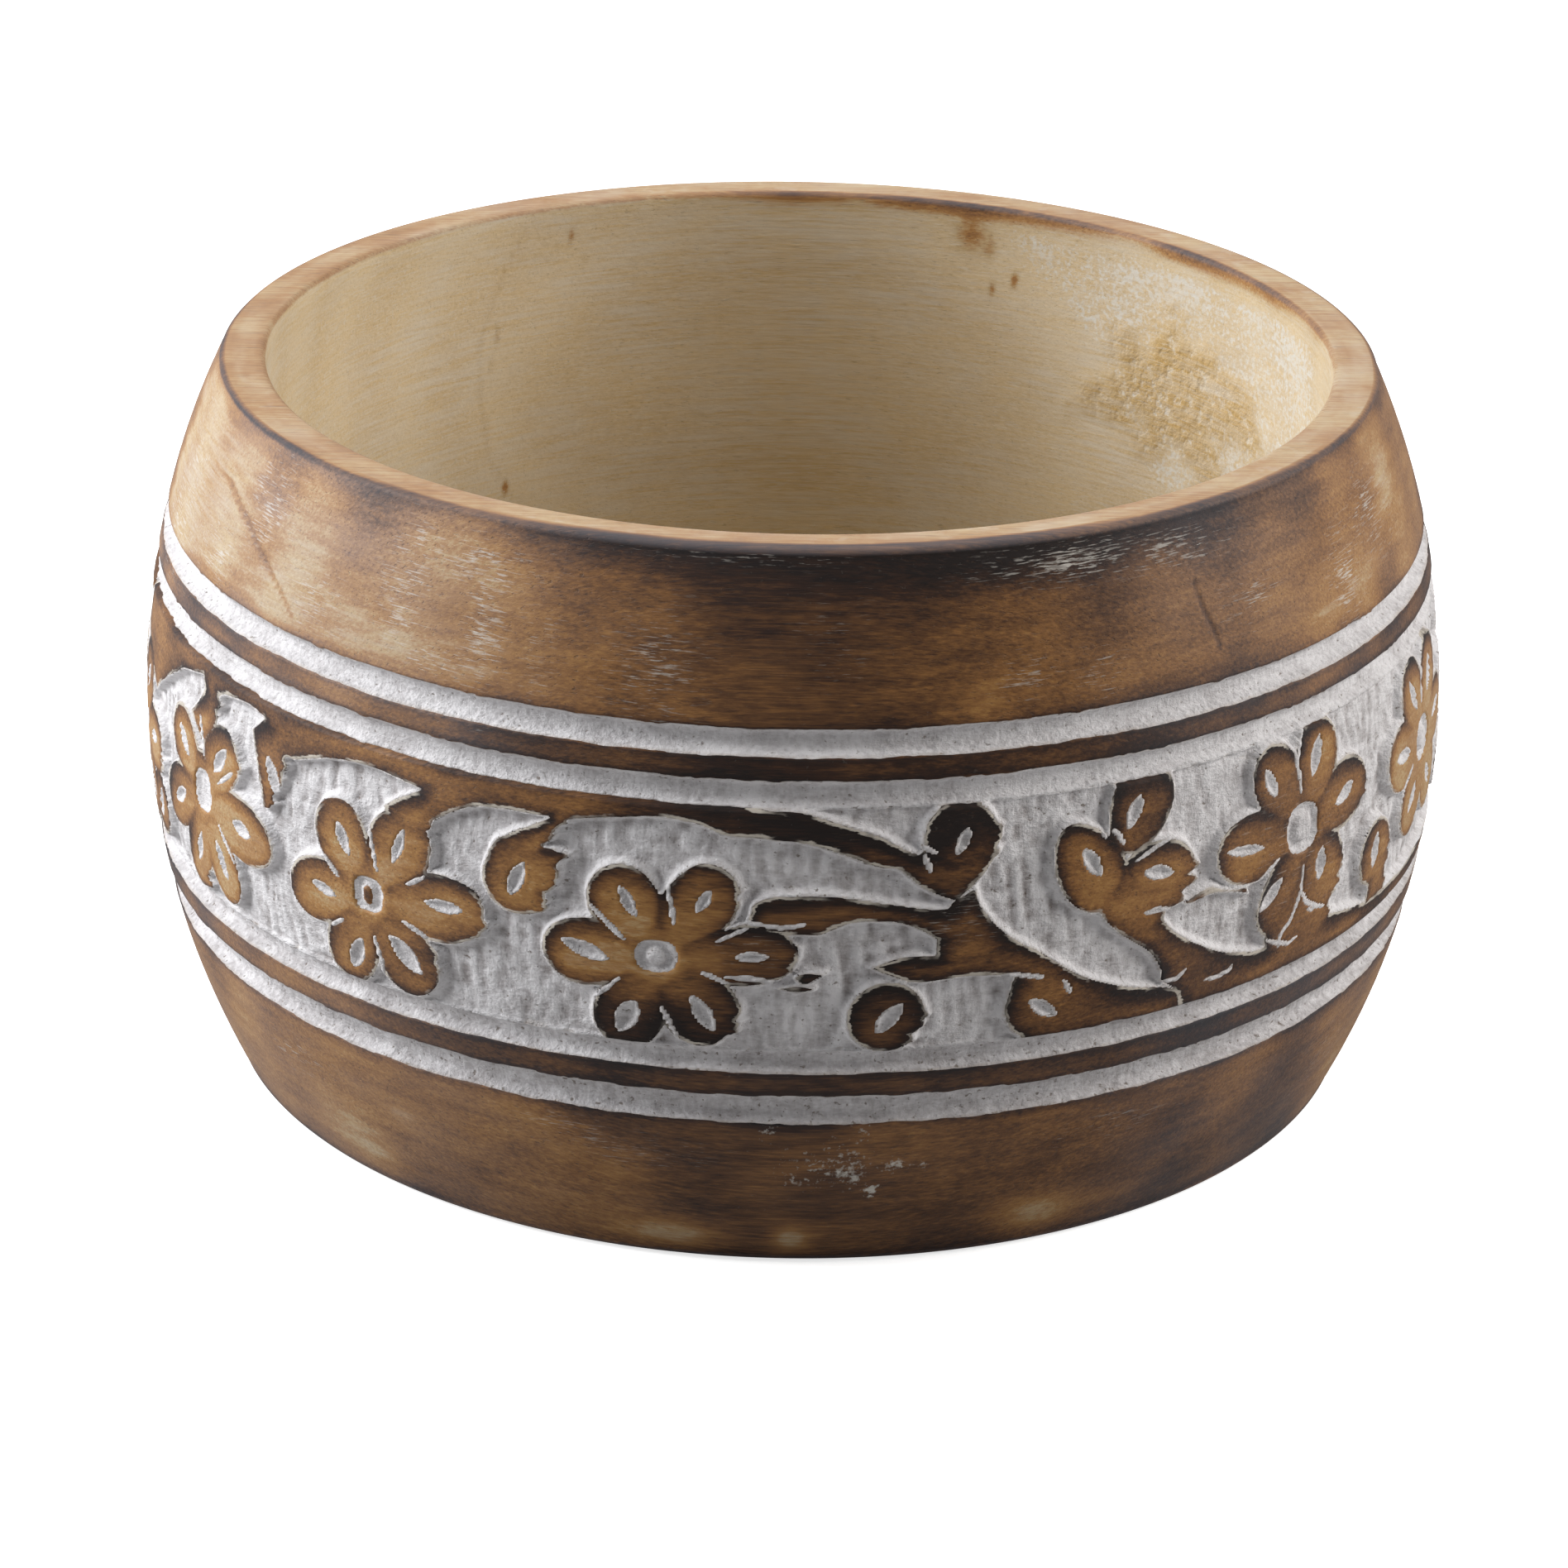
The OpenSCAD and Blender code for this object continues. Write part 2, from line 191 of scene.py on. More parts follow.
LOW_LEAF = [
    (6.5, -1.05), (8.1, -0.58), (10, -0.36), (12.3, -0.41), (18.3, 0.1), (18.5, -2.2), (16, -2),
    (13.9, -1.99), (10.4, -2.1), (8.5, -1.71),
]
CHARRED_CHIP = [(0.5, -1.55), (1.3, -1.3), (3, -1.35), (2.3, -1.8), (1.5, -2.1), (0.8, -1.95)]
CHARRED_STRIP = [(-0.7, -2.35), (0.6, -2.15), (1.9, -2.2), (2.2, -2.45), (0.6, -2.6)]
LONG_STEM = [
    (14.9, 3.4), (15.9, 2.1), (17.2, 0.95), (18.5, 0.15), (20, -0.55), (21.6, -1.35), (23.3, -2.25),
    (25.1, -3.12), (28.7, -4.15), (33.6, -5.14), (34.5, -6.2), (34.9, -7.4), (19.7, -7.4), (19.4, -6.45),
    (18.3, -5), (18, -3.3), (18.5, -2.2), (12, -1.5), (12, 1),
]
SPRIG_STEM = [
    (25.2, 1.5), (26.6, 0.1), (28.4, -1), (30.8, -2.4), (31.9, -3.5), (32.2, -4.4), (33.4, -5.1),
    (34.4, -6.1), (34.6, -7.4), (47, -7.4), (46, -3.5), (43.6, -4.42), (40.5, -4.07), (37.8, -3.38),
    (35.2, -2.3), (33, -1.17), (32, -0.31), (32.2, 0.1), (34, 0.6), (34.2, 2), (28, 4),
]
FRAYED_RIDGE = [
    (33.8, 0.3), (35.2, 0.75), (36.8, 0.95), (38.6, 0.5), (40.8, 0.2), (41, -0.35), (39.2, 0.05),
    (36.9, 0.45), (35, 0.3),
]
FLOWER_FOOT = [
    (43.5, -4.2), (42.5, -3), (42.3, -1.9), (44, -0.5), (48, 0), (52.5, 1.5), (53.6, -0.31), (53.2, -1.59),
    (52.5, -2.81), (52.4, -4.27), (58.9, -5.23), (59.5, -7.4), (43.5, -7.4),
]
BUD_FOOT = [
    (57.3, -1.24), (57, -2.09), (57.5, -3.5), (58.8, -4.14), (58.9, -5.6), (63, -5.6), (63, -5.02),
    (62.6, -3.2), (62.6, -1.74), (60.6, 0.05),
]
OUTLINES = [STRIP_A, STRIP_B, NECK_B, NECK_BUD, DARK_LEAF, LONG_LEAF, LOW_LEAF, CHARRED_CHIP, CHARRED_STRIP,
            LONG_STEM, SPRIG_STEM, FRAYED_RIDGE, FLOWER_FOOT, BUD_FOOT]
# At the back the spray is turned left to right: a place and its copy's add up to this
SPRAY_OUTLINES = [DARK_LEAF, LONG_LEAF, LOW_LEAF, LONG_STEM, SPRIG_STEM, FLOWER_FOOT]
FLIP_SUM = 217

# White hairlines, where wash sits in knife nicks in the wood: points in degrees and height
NICKS = [
    [(33.6, 5), (31.2, 4.4), (29.2, 3.75)], [(43.7, -4), (45.1, -4.5), (46.7, -4.9), (47.9, -4.7)],
    [(48.9, -3.1), (49.8, -3.4)], [(48, -1.8), (48.5, -2.5), (50.1, -3.2), (51.4, -3.5)],
    [(30.2, 0.35), (31.5, 0.4), (32.6, 0.2)], [(26, 6.3), (26.3, 5.5)], [(26.9, 6), (27.5, 5.6), (28, 5)],
    [(32.5, -4.5), (33.8, -4.6), (34.7, -4)], [(37, -5.2), (38.3, -5.3), (39.6, -5.1), (39.9, -4.8)],
    [(10.6, 6.3), (11.9, 5.8)], [(10.8, 5.8), (11.3, 4.8)], [(17.5, -2.1), (18.6, -2.15), (21, -2.55)],
    [(-5, 1.3), (-3.8, 1.8), (-2.4, 1.7), (-0.6, 1.5), (1.3, 1.75)], [(22.9, -3), (23.6, -3.9)],
    [(-5, -1.7), (-2.6, -1.75), (-0.8, -1.95)],
]
# Drying cracks in the shoulder
CRACKS = [
    [(-69.2, 19), (-64.3, 18.85), (-58.9, 17.7), (-54.1, 16.2), (-50.9, 15.1), (-48.7, 14.1)],
    [(37.6, 18.8), (38.1, 17.3), (38.9, 15.9), (39.3, 14.9)],
]


# ---- field tools
def smooth(t):
    t = np.clip(t, 0, 1)
    return t * t * (3 - 2 * t)


def noise(across, up, seed, deg=DEG, z=Z):
    """A smooth field from -1 to 1 in cells of across by up mm, which closes round the ring."""
    cells = max(3, round(GIRTH / across))
    grid = np.random.RandomState(seed).uniform(-1, 1, (NOISE_ROWS, cells))
    u, v = (deg + 180) / 360 * cells, (z + 2 * RING_H) / up
    i, j = np.floor(u).astype(int), np.floor(v).astype(int)
    a, b = smooth(u - i), smooth(v - j)
    i0, i1, j0, j1 = i % cells, (i + 1) % cells, j % NOISE_ROWS, (j + 1) % NOISE_ROWS
    below = grid[j0, i0] * (1 - a) + grid[j0, i1] * a
    above = grid[j1, i0] * (1 - a) + grid[j1, i1] * a
    return below * (1 - b) + above * b


def cloud(across, up, seed, octaves=3, deg=DEG, z=Z):
    total, weight = 0, 0
    for k in range(octaves):
        total = total + noise(across / 2**k, up / 2**k, seed + k, deg, z) / 2**k
        weight += 1 / 2**k
    return total / weight


def turn_from(deg, place):
    return (deg - place + 180) % 360 - 180


def blob(place, height, wide, tall, deg=DEG, z=Z):
    """A soft spot: wide in degrees, tall in mm."""
    return np.exp(-0.5 * ((turn_from(deg, place) / wide) ** 2 + ((z - height) / tall) ** 2))


def join(field, place, height, reach, shape, how=np.maximum):
    """Joins shape(x, y), in mm about a place on the wall, into the field where it can reach."""
    turn = turn_from(THETA, place) * MM_PER_DEG
    cols = np.nonzero(np.abs(turn) < reach)[0]
    rows = np.nonzero(np.abs(HEIGHT - height) < reach)[0]
    x, y = np.meshgrid(turn[cols], HEIGHT[rows] - height)
    at = np.ix_(rows, cols)
    field[at] = how(field[at], shape(x, y))


def turned(x, y, turn):
    c, s = math.cos(math.radians(turn)), math.sin(math.radians(turn))
    return x * c + y * s, y * c - x * s


def egg(x, y, turn, near, tip, half):
    """Depth inside a petal that runs from near to tip and is widest towards its tip."""
    along, side = turned(x, y, turn)
    length = (tip - near) / 2
    along = along - (tip + near) / 2
    wide = half * (1 + 0.16 * np.clip(along / length, -1, 1))
    far = np.hypot(along, side) + 1e-6
    return far / np.maximum(np.hypot(along / length, side / wide), 1e-6) - far


def almond(x, y, turn, length, width):
    """Depth inside a pointed oval."""
    along, side = turned(x, y, turn)
    swell = (length**2 + width**2) / (4 * width)
    return swell - np.hypot(along, np.abs(side) + swell - width / 2)


def squircle(x, y, wide, tall):
    """Depth inside a rounded square."""
    return wide * (1 - (np.abs(x / wide)**2.6 + np.abs(y / tall)**2.6)**(1 / 2.6))


def line_depth(x, y, points, half):
    """Depth inside a line through the points that thins out to both ends."""
    steps = [math.dist(a, b) for a, b in zip(points, points[1:])]
    best, gone = np.full(x.shape, -9.0), 0
    for (ax, ay), (bx, by), step in zip(points, points[1:], steps):
        t = np.clip(((x - ax) * (bx - ax) + (y - ay) * (by - ay)) / step**2, 0, 1)
        away = np.hypot(x - ax - t * (bx - ax), y - ay - t * (by - ay))
        from_mid = np.abs(2 * (gone + t * step) / sum(steps) - 1)
        best = np.maximum(best, half * (1.15 - 0.8 * from_mid**3) - away)
        gone += step
    return best


SHARP_TURN = math.radians(52)
CURVE_STEPS = 5


def curved(corners):
    """Points in mm along a closed outline, rounded at its gentle corners."""
    p = np.array(corners, float) * (MM_PER_DEG, 1)
    before, after = np.roll(p, 1, 0), np.roll(p, -1, 0)
    a1 = np.arctan2(*(p - before).T[::-1])
    a2 = np.arctan2(*(after - p).T[::-1])
    bend = np.abs((a2 - a1 + math.pi) % (2 * math.pi) - math.pi)
    soft = (bend < SHARP_TURN)[:, None]
    leave = np.where(soft, (after - before) / 2, after - p)
    arrive = np.where(soft, (after - before) / 2, p - before)
    out = []
    for t in np.arange(CURVE_STEPS) / CURVE_STEPS:
        h = (2 * t**3 - 3 * t**2 + 1, t**3 - 2 * t**2 + t, 3 * t**2 - 2 * t**3, t**3 - t**2)
        out.append(h[0] * p + h[1] * leave + h[2] * after + h[3] * np.roll(arrive, -1, 0))
    return np.stack(out, 1).reshape(-1, 2)


def join_outline(field, corners):
    points = curved(corners)
    low, high = points.min(0), points.max(0)
    mid = (low + high) / 2
    ring = points - mid

    def depth(x, y):
        near = np.full(x.shape, 1e9)
        inside = np.zeros(x.shape, bool)
        for (ax, ay), (bx, by) in zip(ring, np.roll(ring, -1, 0)):
            dx, dy = bx - ax, by - ay
            t = np.clip(((x - ax) * dx + (y - ay) * dy) / (dx * dx + dy * dy + 1e-12), 0, 1)
            near = np.minimum(near, (x - ax - t * dx) ** 2 + (y - ay - t * dy) ** 2)
            if dy:
                inside ^= ((ay > y) != (by > y)) & (x < (y - ay) * dx / dy + ax)
        return np.where(inside, 1, -1) * np.sqrt(near)

    join(field, mid[0] / MM_PER_DEG, mid[1], max(high - low) / 2 + 1.5, depth)


def join_line(field, corners, half):
    """Joins a line through corners given in degrees and height."""
    place, height = corners[len(corners) // 2]
    points = [((a - place) * MM_PER_DEG, z - height) for a, z in corners]
    reach = max(abs(v) for point in points for v in point) + 1
    join(field, place, height, reach, lambda x, y: line_depth(x, y, points, half))


def box_mean(field, rows, cols):
    """Mean over a window that reaches rows and cols to each side."""
    for axis, reach in ((0, rows), (1, cols)):
        field = sum(np.roll(field, k, axis) for k in range(-reach, reach + 1)) / (2 * reach + 1)
    return field


def flip(corners):
    return [(FLIP_SUM - place, height) for place, height in corners]


def cove(inside, depth, wall):
    """Depth of a cut whose wall falls steeply from its lip and eases into its floor."""
    t = np.clip(inside / wall, 0, 1)
    return depth * (1 - (1 - t) ** 2)


# ---- what stands proud, and what is cut
def carve_strips(wood):
    """The strips along the band's edges where the outlines don't cover them."""
    top = STRIP_TOP + 0.25 * noise(9, 50, 11)
    over = (DEG < -82) & (DEG > -147)
    wood = np.where(over, np.maximum(wood, Z - top), wood)
    foot = STRIP_FOOT + 0.2 * noise(9, 50, 12)
    under = (turn_from(DEG, 115) > -64) & (turn_from(DEG, 115) < 70)
    return np.where(under, np.maximum(wood, foot - Z), wood)


def plain_cuts(petals, pick):
    """An almond cut in the middle of every petal, each a little different."""
    cuts = []
    for turn, tip, _ in petals:
        a, away = math.radians(turn), tip * 0.6
        long, wide = pick.uniform(1.9, 2.5), pick.uniform(0.65, 0.95)
        cuts.append((away * math.cos(a), away * math.sin(a), turn + pick.uniform(-14, 14), long, wide))
    return cuts


def carve_flower(wood, eyes, cuts, flower, pick):
    place, height, eye_w, eye_h, _, petals, almonds, lines = flower
    join(wood, place, height, HUB_R + 0.8, lambda x, y: HUB_R - np.hypot(x, y))
    join(eyes, place, height, 3, lambda x, y: squircle(x, y, eye_w, eye_h))
    for turn, tip, half in petals:
        join(wood, place, height, 11, lambda x, y: egg(x, y, turn, 0.4, tip, half))
    for x0, y0, turn, long, wide in almonds or plain_cuts(petals, pick):
        join(cuts, place + x0 / MM_PER_DEG, height + y0, 2.5, lambda x, y: almond(x, y, turn, long, wide))
    for points in lines:
        join(cuts, place, height, 9, lambda x, y: line_depth(x, y, points, SLIT_HALF))


def carve_buds(wood, cuts):
    flipped = [(FLIP_SUM - place, height, radius, FLIP_SUM - at, up, 180 - turn, long, wide)
               for place, height, radius, at, up, turn, long, wide in BUDS[1:4]]
    for place, height, radius, at, up, turn, long, wide in BUDS + flipped:
        join(wood, place, height, 4, lambda x, y: radius - np.hypot(x, y))
        join(cuts, at, up, 2.5, lambda x, y: almond(x, y, turn, long, wide))


def carve_sprigs(wood, cuts):
    flipped = [(FLIP_SUM - place, height, long, half, 180 - turn, FLIP_SUM - at, up)
               for place, height, long, half, turn, at, up in SPRIG_PETALS]
    for place, height, long, half, turn, at, up in SPRIG_PETALS + flipped:
        join(wood, place, height, 5, lambda x, y: egg(x, y, turn, -long, long, half))
        join(cuts, at, up, 2.5, lambda x, y: almond(x, y, turn, *SPRIG_CUT))


def carve():
    """The fields in mm, positive inside: wood, eyes and fine cuts."""
    wood, eyes, cuts = (np.full(DEG.shape, -3.0) for _ in range(3))
    pick = np.random.RandomState(7)
    for outline in OUTLINES + [flip(o) for o in SPRAY_OUTLINES]:
        join_outline(wood, outline)
    wood = carve_strips(wood)
    for flower in FLOWERS:
        carve_flower(wood, eyes, cuts, flower, pick)
    carve_buds(wood, cuts)
    carve_sprigs(wood, cuts)
    place, height, turn, long, wide = PENDANT_CUT
    join(cuts, place, height, 2.5, lambda x, y: almond(x, y, turn, long, wide))
    for nick in NICKS:
        join_line(cuts, nick, SLIT_HALF)
    place, height, wide, tall = EYE_SLIVER
    join(eyes, place, height, 1, lambda x, y: wide * (np.hypot(x / wide, y / tall) - 1), np.minimum)
    return wood, eyes, cuts


WOOD, EYES, CUTS = carve()
# How the wood falls away to the right and upwards, from -1 to 1: which way an edge faces
FALLS_RIGHT = box_mean((np.roll(WOOD, 1, 1) - np.roll(WOOD, -1, 1)) / (2 * GIRTH / COLS), 2, 2)
FALLS_UP = box_mean((np.roll(WOOD, 1, 0) - np.roll(WOOD, -1, 0)) / (2 * FINE_STEP), 2, 2)
# The knife frays the fibres on edges that face right, and leaves the others clean
FRAY = smooth(FALLS_RIGHT * 1.6 - 0.35) * smooth(1.2 - 2.2 * FALLS_UP)
FRAY *= smooth(0.55 + 1.4 * noise(4, 2.5, 24))
FIBRES = cloud(1.8, 0.5, 21, 2)
TEAR = (0.03 + 0.62 * FRAY) * FIBRES + 0.04 * noise(1.5, 1.2, 22)
WOOD += TEAR
EYES += 0.05 * noise(0.9, 0.4, 25)
CUTS = CUTS + 0.06 + 0.04 * noise(0.9, 0.4, 26)
IN_BAND = np.minimum(Z - (BAND_LOW - BAND_OVERLAP), BAND_HIGH + BAND_OVERLAP - Z)
GROUND = np.minimum(-WOOD, IN_BAND)
CUTS = np.where(IN_BAND > CUT_MARGIN, CUTS, -1)
EYES = np.where(IN_BAND > CUT_MARGIN, EYES, -1)


def gouge_marks():
    """Gouge scallops, with a sharp ridge between strokes and scratches down them."""
    stroke = DEG * MM_PER_DEG / 1.05 + 1.1 * noise(3.2, 4, 31) + 0.12 * Z * noise(14, 40, 32)
    across = 2 * (stroke - np.floor(stroke)) - 1
    stops = Z / 2.3 + 1.1 * noise(1.2, 60, 33)
    along = 2 * (stops - np.floor(stops)) - 1
    patchy = 0.5 + 0.5 * noise(5, 4, 34)
    scallops = 0.06 * across**2 * patchy + 0.04 * along**2 * (1 - 0.6 * patchy)
    slant = 0.35 * noise(9, 9, 37)
    scratches = noise(0.5, 2.2, 35, DEG + slant * Z) + 0.5 * noise(0.9, 0.5, 38, DEG - slant * Z)
    return scallops + (0.02 + 0.055 * smooth(0.5 + 1.2 * noise(5, 3.5, 40))) * scratches


MARKS = gouge_marks()


def groove_cut(k, name):
    """How far each point lies inside a groove, and how deep the groove is there."""
    low, high, deep, rough, _ = GROOVES[name]
    edge = 0.05 * noise(1.5, 4, 41 + k) + 0.03 * noise(0.4, 4, 51 + k)
    inside = np.minimum(Z - low, high - Z) + edge
    ticks = 0.04 * noise(0.36, 1.4, 61 + k) + 0.03 * noise(0.9, 0.5, 71 + k)
    return inside, cove(inside, deep, GROOVE_WALL) - rough * smooth(inside / 0.5) * ticks


def depths():
    """How deep each point of the outside is cut, and how far it lies inside each groove."""
    lumps = 0.07 * cloud(1.5, 1.1, 36)
    depth = cove(GROUND, GROUND_DEPTH, GROUND_WALL) - smooth(GROUND / 0.5) * (MARKS + lumps)
    depth = np.maximum(depth, 0)
    inside = {}
    for k, name in enumerate(GROOVES):
        inside[name], cut = groove_cut(k, name)
        depth = np.maximum(depth, cut)
    depth = np.maximum(depth, cove(EYES, CUT_DEPTH, EYE_WALL))
    depth = np.maximum(depth, cove(CUTS, CUT_DEPTH, CUT_WALL))
    for place, height, _, _, nub, _, _, _ in FLOWERS:
        if nub:
            join(depth, place, height, 2,
                 lambda x, y: CUT_DEPTH - NUB_RISE * smooth((nub - np.hypot(x, y)) / 0.3 + 0.5),
                 lambda old, new: np.where(old > CUT_DEPTH * 0.95, new, old))
    split = np.full(DEG.shape, -3.0)
    for crack in CRACKS:
        join_line(split, crack, CRACK_HALF)
    return np.maximum(depth, cove(split, CRACK_DEPTH, CRACK_DEPTH)), inside, split


DEPTH, IN_GROOVE, SPLIT = depths()
# The sanded barrel isn't quite true
WOBBLE = 0.05 * cloud(18, 9, 81, 2) - 0.012 * np.abs(noise(2, 0.4, 83))
BARREL = BELLY_R - ARC_R + np.sqrt(ARC_R**2 - Z**2)
SURFACE = BARREL - DEPTH + WOBBLE * (DEPTH < 0.05)

# ---- wash
PATCHY = cloud(1.6, 0.8, 91)
# Spots rubbed thin on the ground: place, height, width in degrees, height in mm
THIN_SPOTS = [(-25.9, 6.4, 0.4, 0.22), (43, 8, 1.5, 0.12), (-27, 1.2, 0.8, 0.3)]
LAP = 0.2
COAT, FILL = 0.12, 0.2
# The groove's wash lies this far under the ground's where they lap
TUCK = 0.012


def thickness(inside, most, start=-0.08, ramp=0.28):
    """Thickness of the wash in a cut: below nought where the wood stands clear of it."""
    return most * (smooth((inside - start) / ramp) * 1.35 - 0.35) + 0.02 * PATCHY


def wash_coats():
    """The thickness of every wash. Next to the band, the groove's wash laps just under the ground's."""
    crumbs = 0.2 * smooth(noise(0.9, 0.25, 92) * 3 - 1.6) * np.exp(-(IN_BAND / 0.35) ** 2)
    lip = 0.07 * np.exp(-((GROUND - 0.12) / 0.13) ** 2) * smooth(0.7 + noise(1.6, 1.6, 94))
    ground = thickness(GROUND, COAT, -0.12, 0.24) - crumbs + lip
    for spot in THIN_SPOTS:
        ground -= 0.25 * blob(*spot) * smooth(1 + 2 * noise(0.8, 0.5, 93))
    coats = {"ground_wash": np.where((Z > BAND_LOW - LAP) & (Z < BAND_HIGH + LAP), ground, -1)}
    for groove, inside in IN_GROOVE.items():
        coats[groove] = thickness(np.maximum(inside, np.where(GROUND > 0, GROUND, inside)), COAT)
        coats[groove] = np.where(inside > -0.6, coats[groove], -1)
    upper, lower = coats["upper_groove_wash"], coats["lower_groove_wash"]
    upper = np.where(Z < BAND_HIGH + LAP, np.minimum(upper, ground) - TUCK, upper)
    lower = np.where(Z > BAND_LOW - LAP, np.minimum(lower, ground) - TUCK, lower)
    coats["upper_groove_wash"] = np.where(Z < BAND_HIGH - LAP, -1, upper)
    coats["lower_groove_wash"] = np.where(Z > BAND_LOW + LAP, -1, lower)
    coats["flower_eye_wash"] = thickness(EYES, FILL, 0.0, 0.16)
    coats["petal_cut_wash"] = thickness(CUTS, FILL, -0.03, 0.12)
    return coats


WASH = wash_coats()
# Painted shade and highlight for the wash: from 0 on ridges and lips, which are painted lighter, to 1 in
# hollows, which are painted darker
FLOOR = smooth(GROUND / 0.4) * (IN_BAND > 0.2)
HOLLOW_SHADE = 0.22 + 0.16 * FLOOR - 0.12 * np.exp(-((GROUND - 0.12) / 0.15) ** 2)
HOLLOW_SHADE = np.clip(HOLLOW_SHADE - FLOOR * (MARKS - box_mean(MARKS, 5, 4)) / 0.11, 0, 1)


# ---- burn, lime and wear, from 0 to 1
# How brown the torch left the wood: place, height, width in degrees, height in mm, amount
BURN_SPOTS = [
    (-62, 17, 16, 6, -0.17), (-40, 19, 8, 4, -0.05), (-30, 15, 6, 3, -0.08), (2, 19.5, 11, 3.6, 0.38),
    (-2, 22.4, 20, 1.2, 0.35), (5, 15.8, 8, 2.4, 0.06), (17.5, 18.8, 5, 2.2, -0.09), (-14, 18, 5, 3, -0.06),
    (25, 22, 14, 1.4, 0.3), (33, 13.3, 8, 0.6, 0.12), (38, 16, 5, 2.5, 0.08), (34, 20, 4, 2, -0.08),
    (67, 17, 14, 6, -0.14), (-79, 17, 6, 6, -0.25), (-60, 0, 13, 9, -0.17), (-37, 0, 8, 7, -0.04),
    (-12, 1.5, 5, 4, -0.03), (-1.5, 0, 3, 3, 0.1), (-9, -5.2, 5, 1.4, 0.42), (3, 7.7, 10, 1.1, 0.5),
    (13.8, 7.2, 3.4, 2.2, 0.4), (9.5, -4.6, 3, 2.2, 0.24), (28, -4.2, 14, 2, 0.18), (5, 2.6, 8, 1, 0.12),
    (29, 4, 6, 4, 0.04), (45, 2, 7, 5, 0.14), (-68, 6.5, 8, 1.6, 0.28), (-46, 7, 12, 1, 0.34),
    (-20, 7, 5, 1, 0.12), (70, 2, 8, 6, -0.12), (-36.8, -0.6, 0.4, 0.4, 0.5), (-31.5, -4, 2, 1.2, 0.22),
    (-27.5, -2, 1.2, 1, 0.15), (-25.9, 6.4, 0.5, 0.35, 0.4), (0, -16, 12, 4, 0.05), (15, -16.4, 6, 4, -0.02),
    (-46, -14.5, 9, 4, -0.2), (36, -15, 6, 3, -0.05), (0, -21, 8, 2, -0.06), (-14, -15, 5, 4, -0.06),
    (45, -18, 14, 5, 0.08), (-66, -18, 12, 6, -0.12), (72, -16, 8, 6, -0.1), (-9.5, -20.9, 3.2, 0.8, -0.4),
    (0.7, -21, 1.3, 0.8, -0.4), (23.5, -20.2, 3.4, 1.2, -0.4), (-150, 17, 20, 5, 0.3),
    (150, 17, 14, 5, 0.25), (110, 18, 18, 5, -0.05), (-110, 18, 16, 5, 0.15),
]
# Clusters of hairline wash caught in the turning marks: place, height, width, height, amount
SCUFFS = [
    (-36, 18, 2.2, 3, 0.9), (-27.5, 17, 1.6, 3.2, 1), (-22, 16, 1.4, 2.6, 0.6), (-56, 19, 4, 2.5, 0.8),
    (-12, 16, 3, 2.4, 0.7), (4, 18, 3, 2, 0.35), (26, 21.2, 6, 0.8, 1), (36, 20.8, 5, 0.9, 0.8),
    (20, 15.3, 2, 1, 0.7), (27, 15, 2, 1, 0.65), (58, 16, 2.2, 2, 1), (-20, -13.2, 3, 0.6, 0.6),
    (-31.5, 14.5, 5, 0.8, 0.7), (-46, 15.5, 3, 1.4, 0.8), (-30, 20.3, 5, 1, 0.8), (-63, 15, 3, 1.4, 0.9),
    (44, 17, 3, 1.2, 0.6), (66, 18, 5, 2, 0.7), (-5, 22.2, 8, 0.35, 0.6), (-75, 15, 5, 4, 0.8),
    (14, 2, 3, 1.2, 0.6), (-3, 0, 2, 1, 0.4), (47, 1.5, 6, 4, 0.35), (95, 17, 3, 3, 0.8),
    (130, 16, 3, 3, 0.7), (-120, 18, 4, 3, 0.8), (-160, 15, 3, 2, 0.7), (175, 19, 4, 2, 0.7),
    (-50, -15, 4, 1.5, 0.5), (60, -16, 4, 2, 0.5), (120, -15, 4, 2, 0.6), (-140, -16, 4, 2, 0.6),
    (-15, -14.5, 6, 1, 0.5), (30, -14, 5, 1, 0.4),
]
# Clumps of wash flakes on the foot, in the same terms
FLAKES = [
    (5.5, -15.4, 1.1, 0.7, 0.75), (7.7, -16.9, 0.5, 0.5, 0.85), (9.6, -14.9, 0.7, 0.4, 0.75),
    (11.9, -15.1, 1, 0.3, 0.45), (2.1, -16, 1.8, 0.5, 0.42), (6.8, -12.4, 0.5, 0.6, 0.5),
    (-1.5, -12.2, 0.6, 0.3, 0.5), (4, -14.6, 2.6, 1.1, 0.42),
]


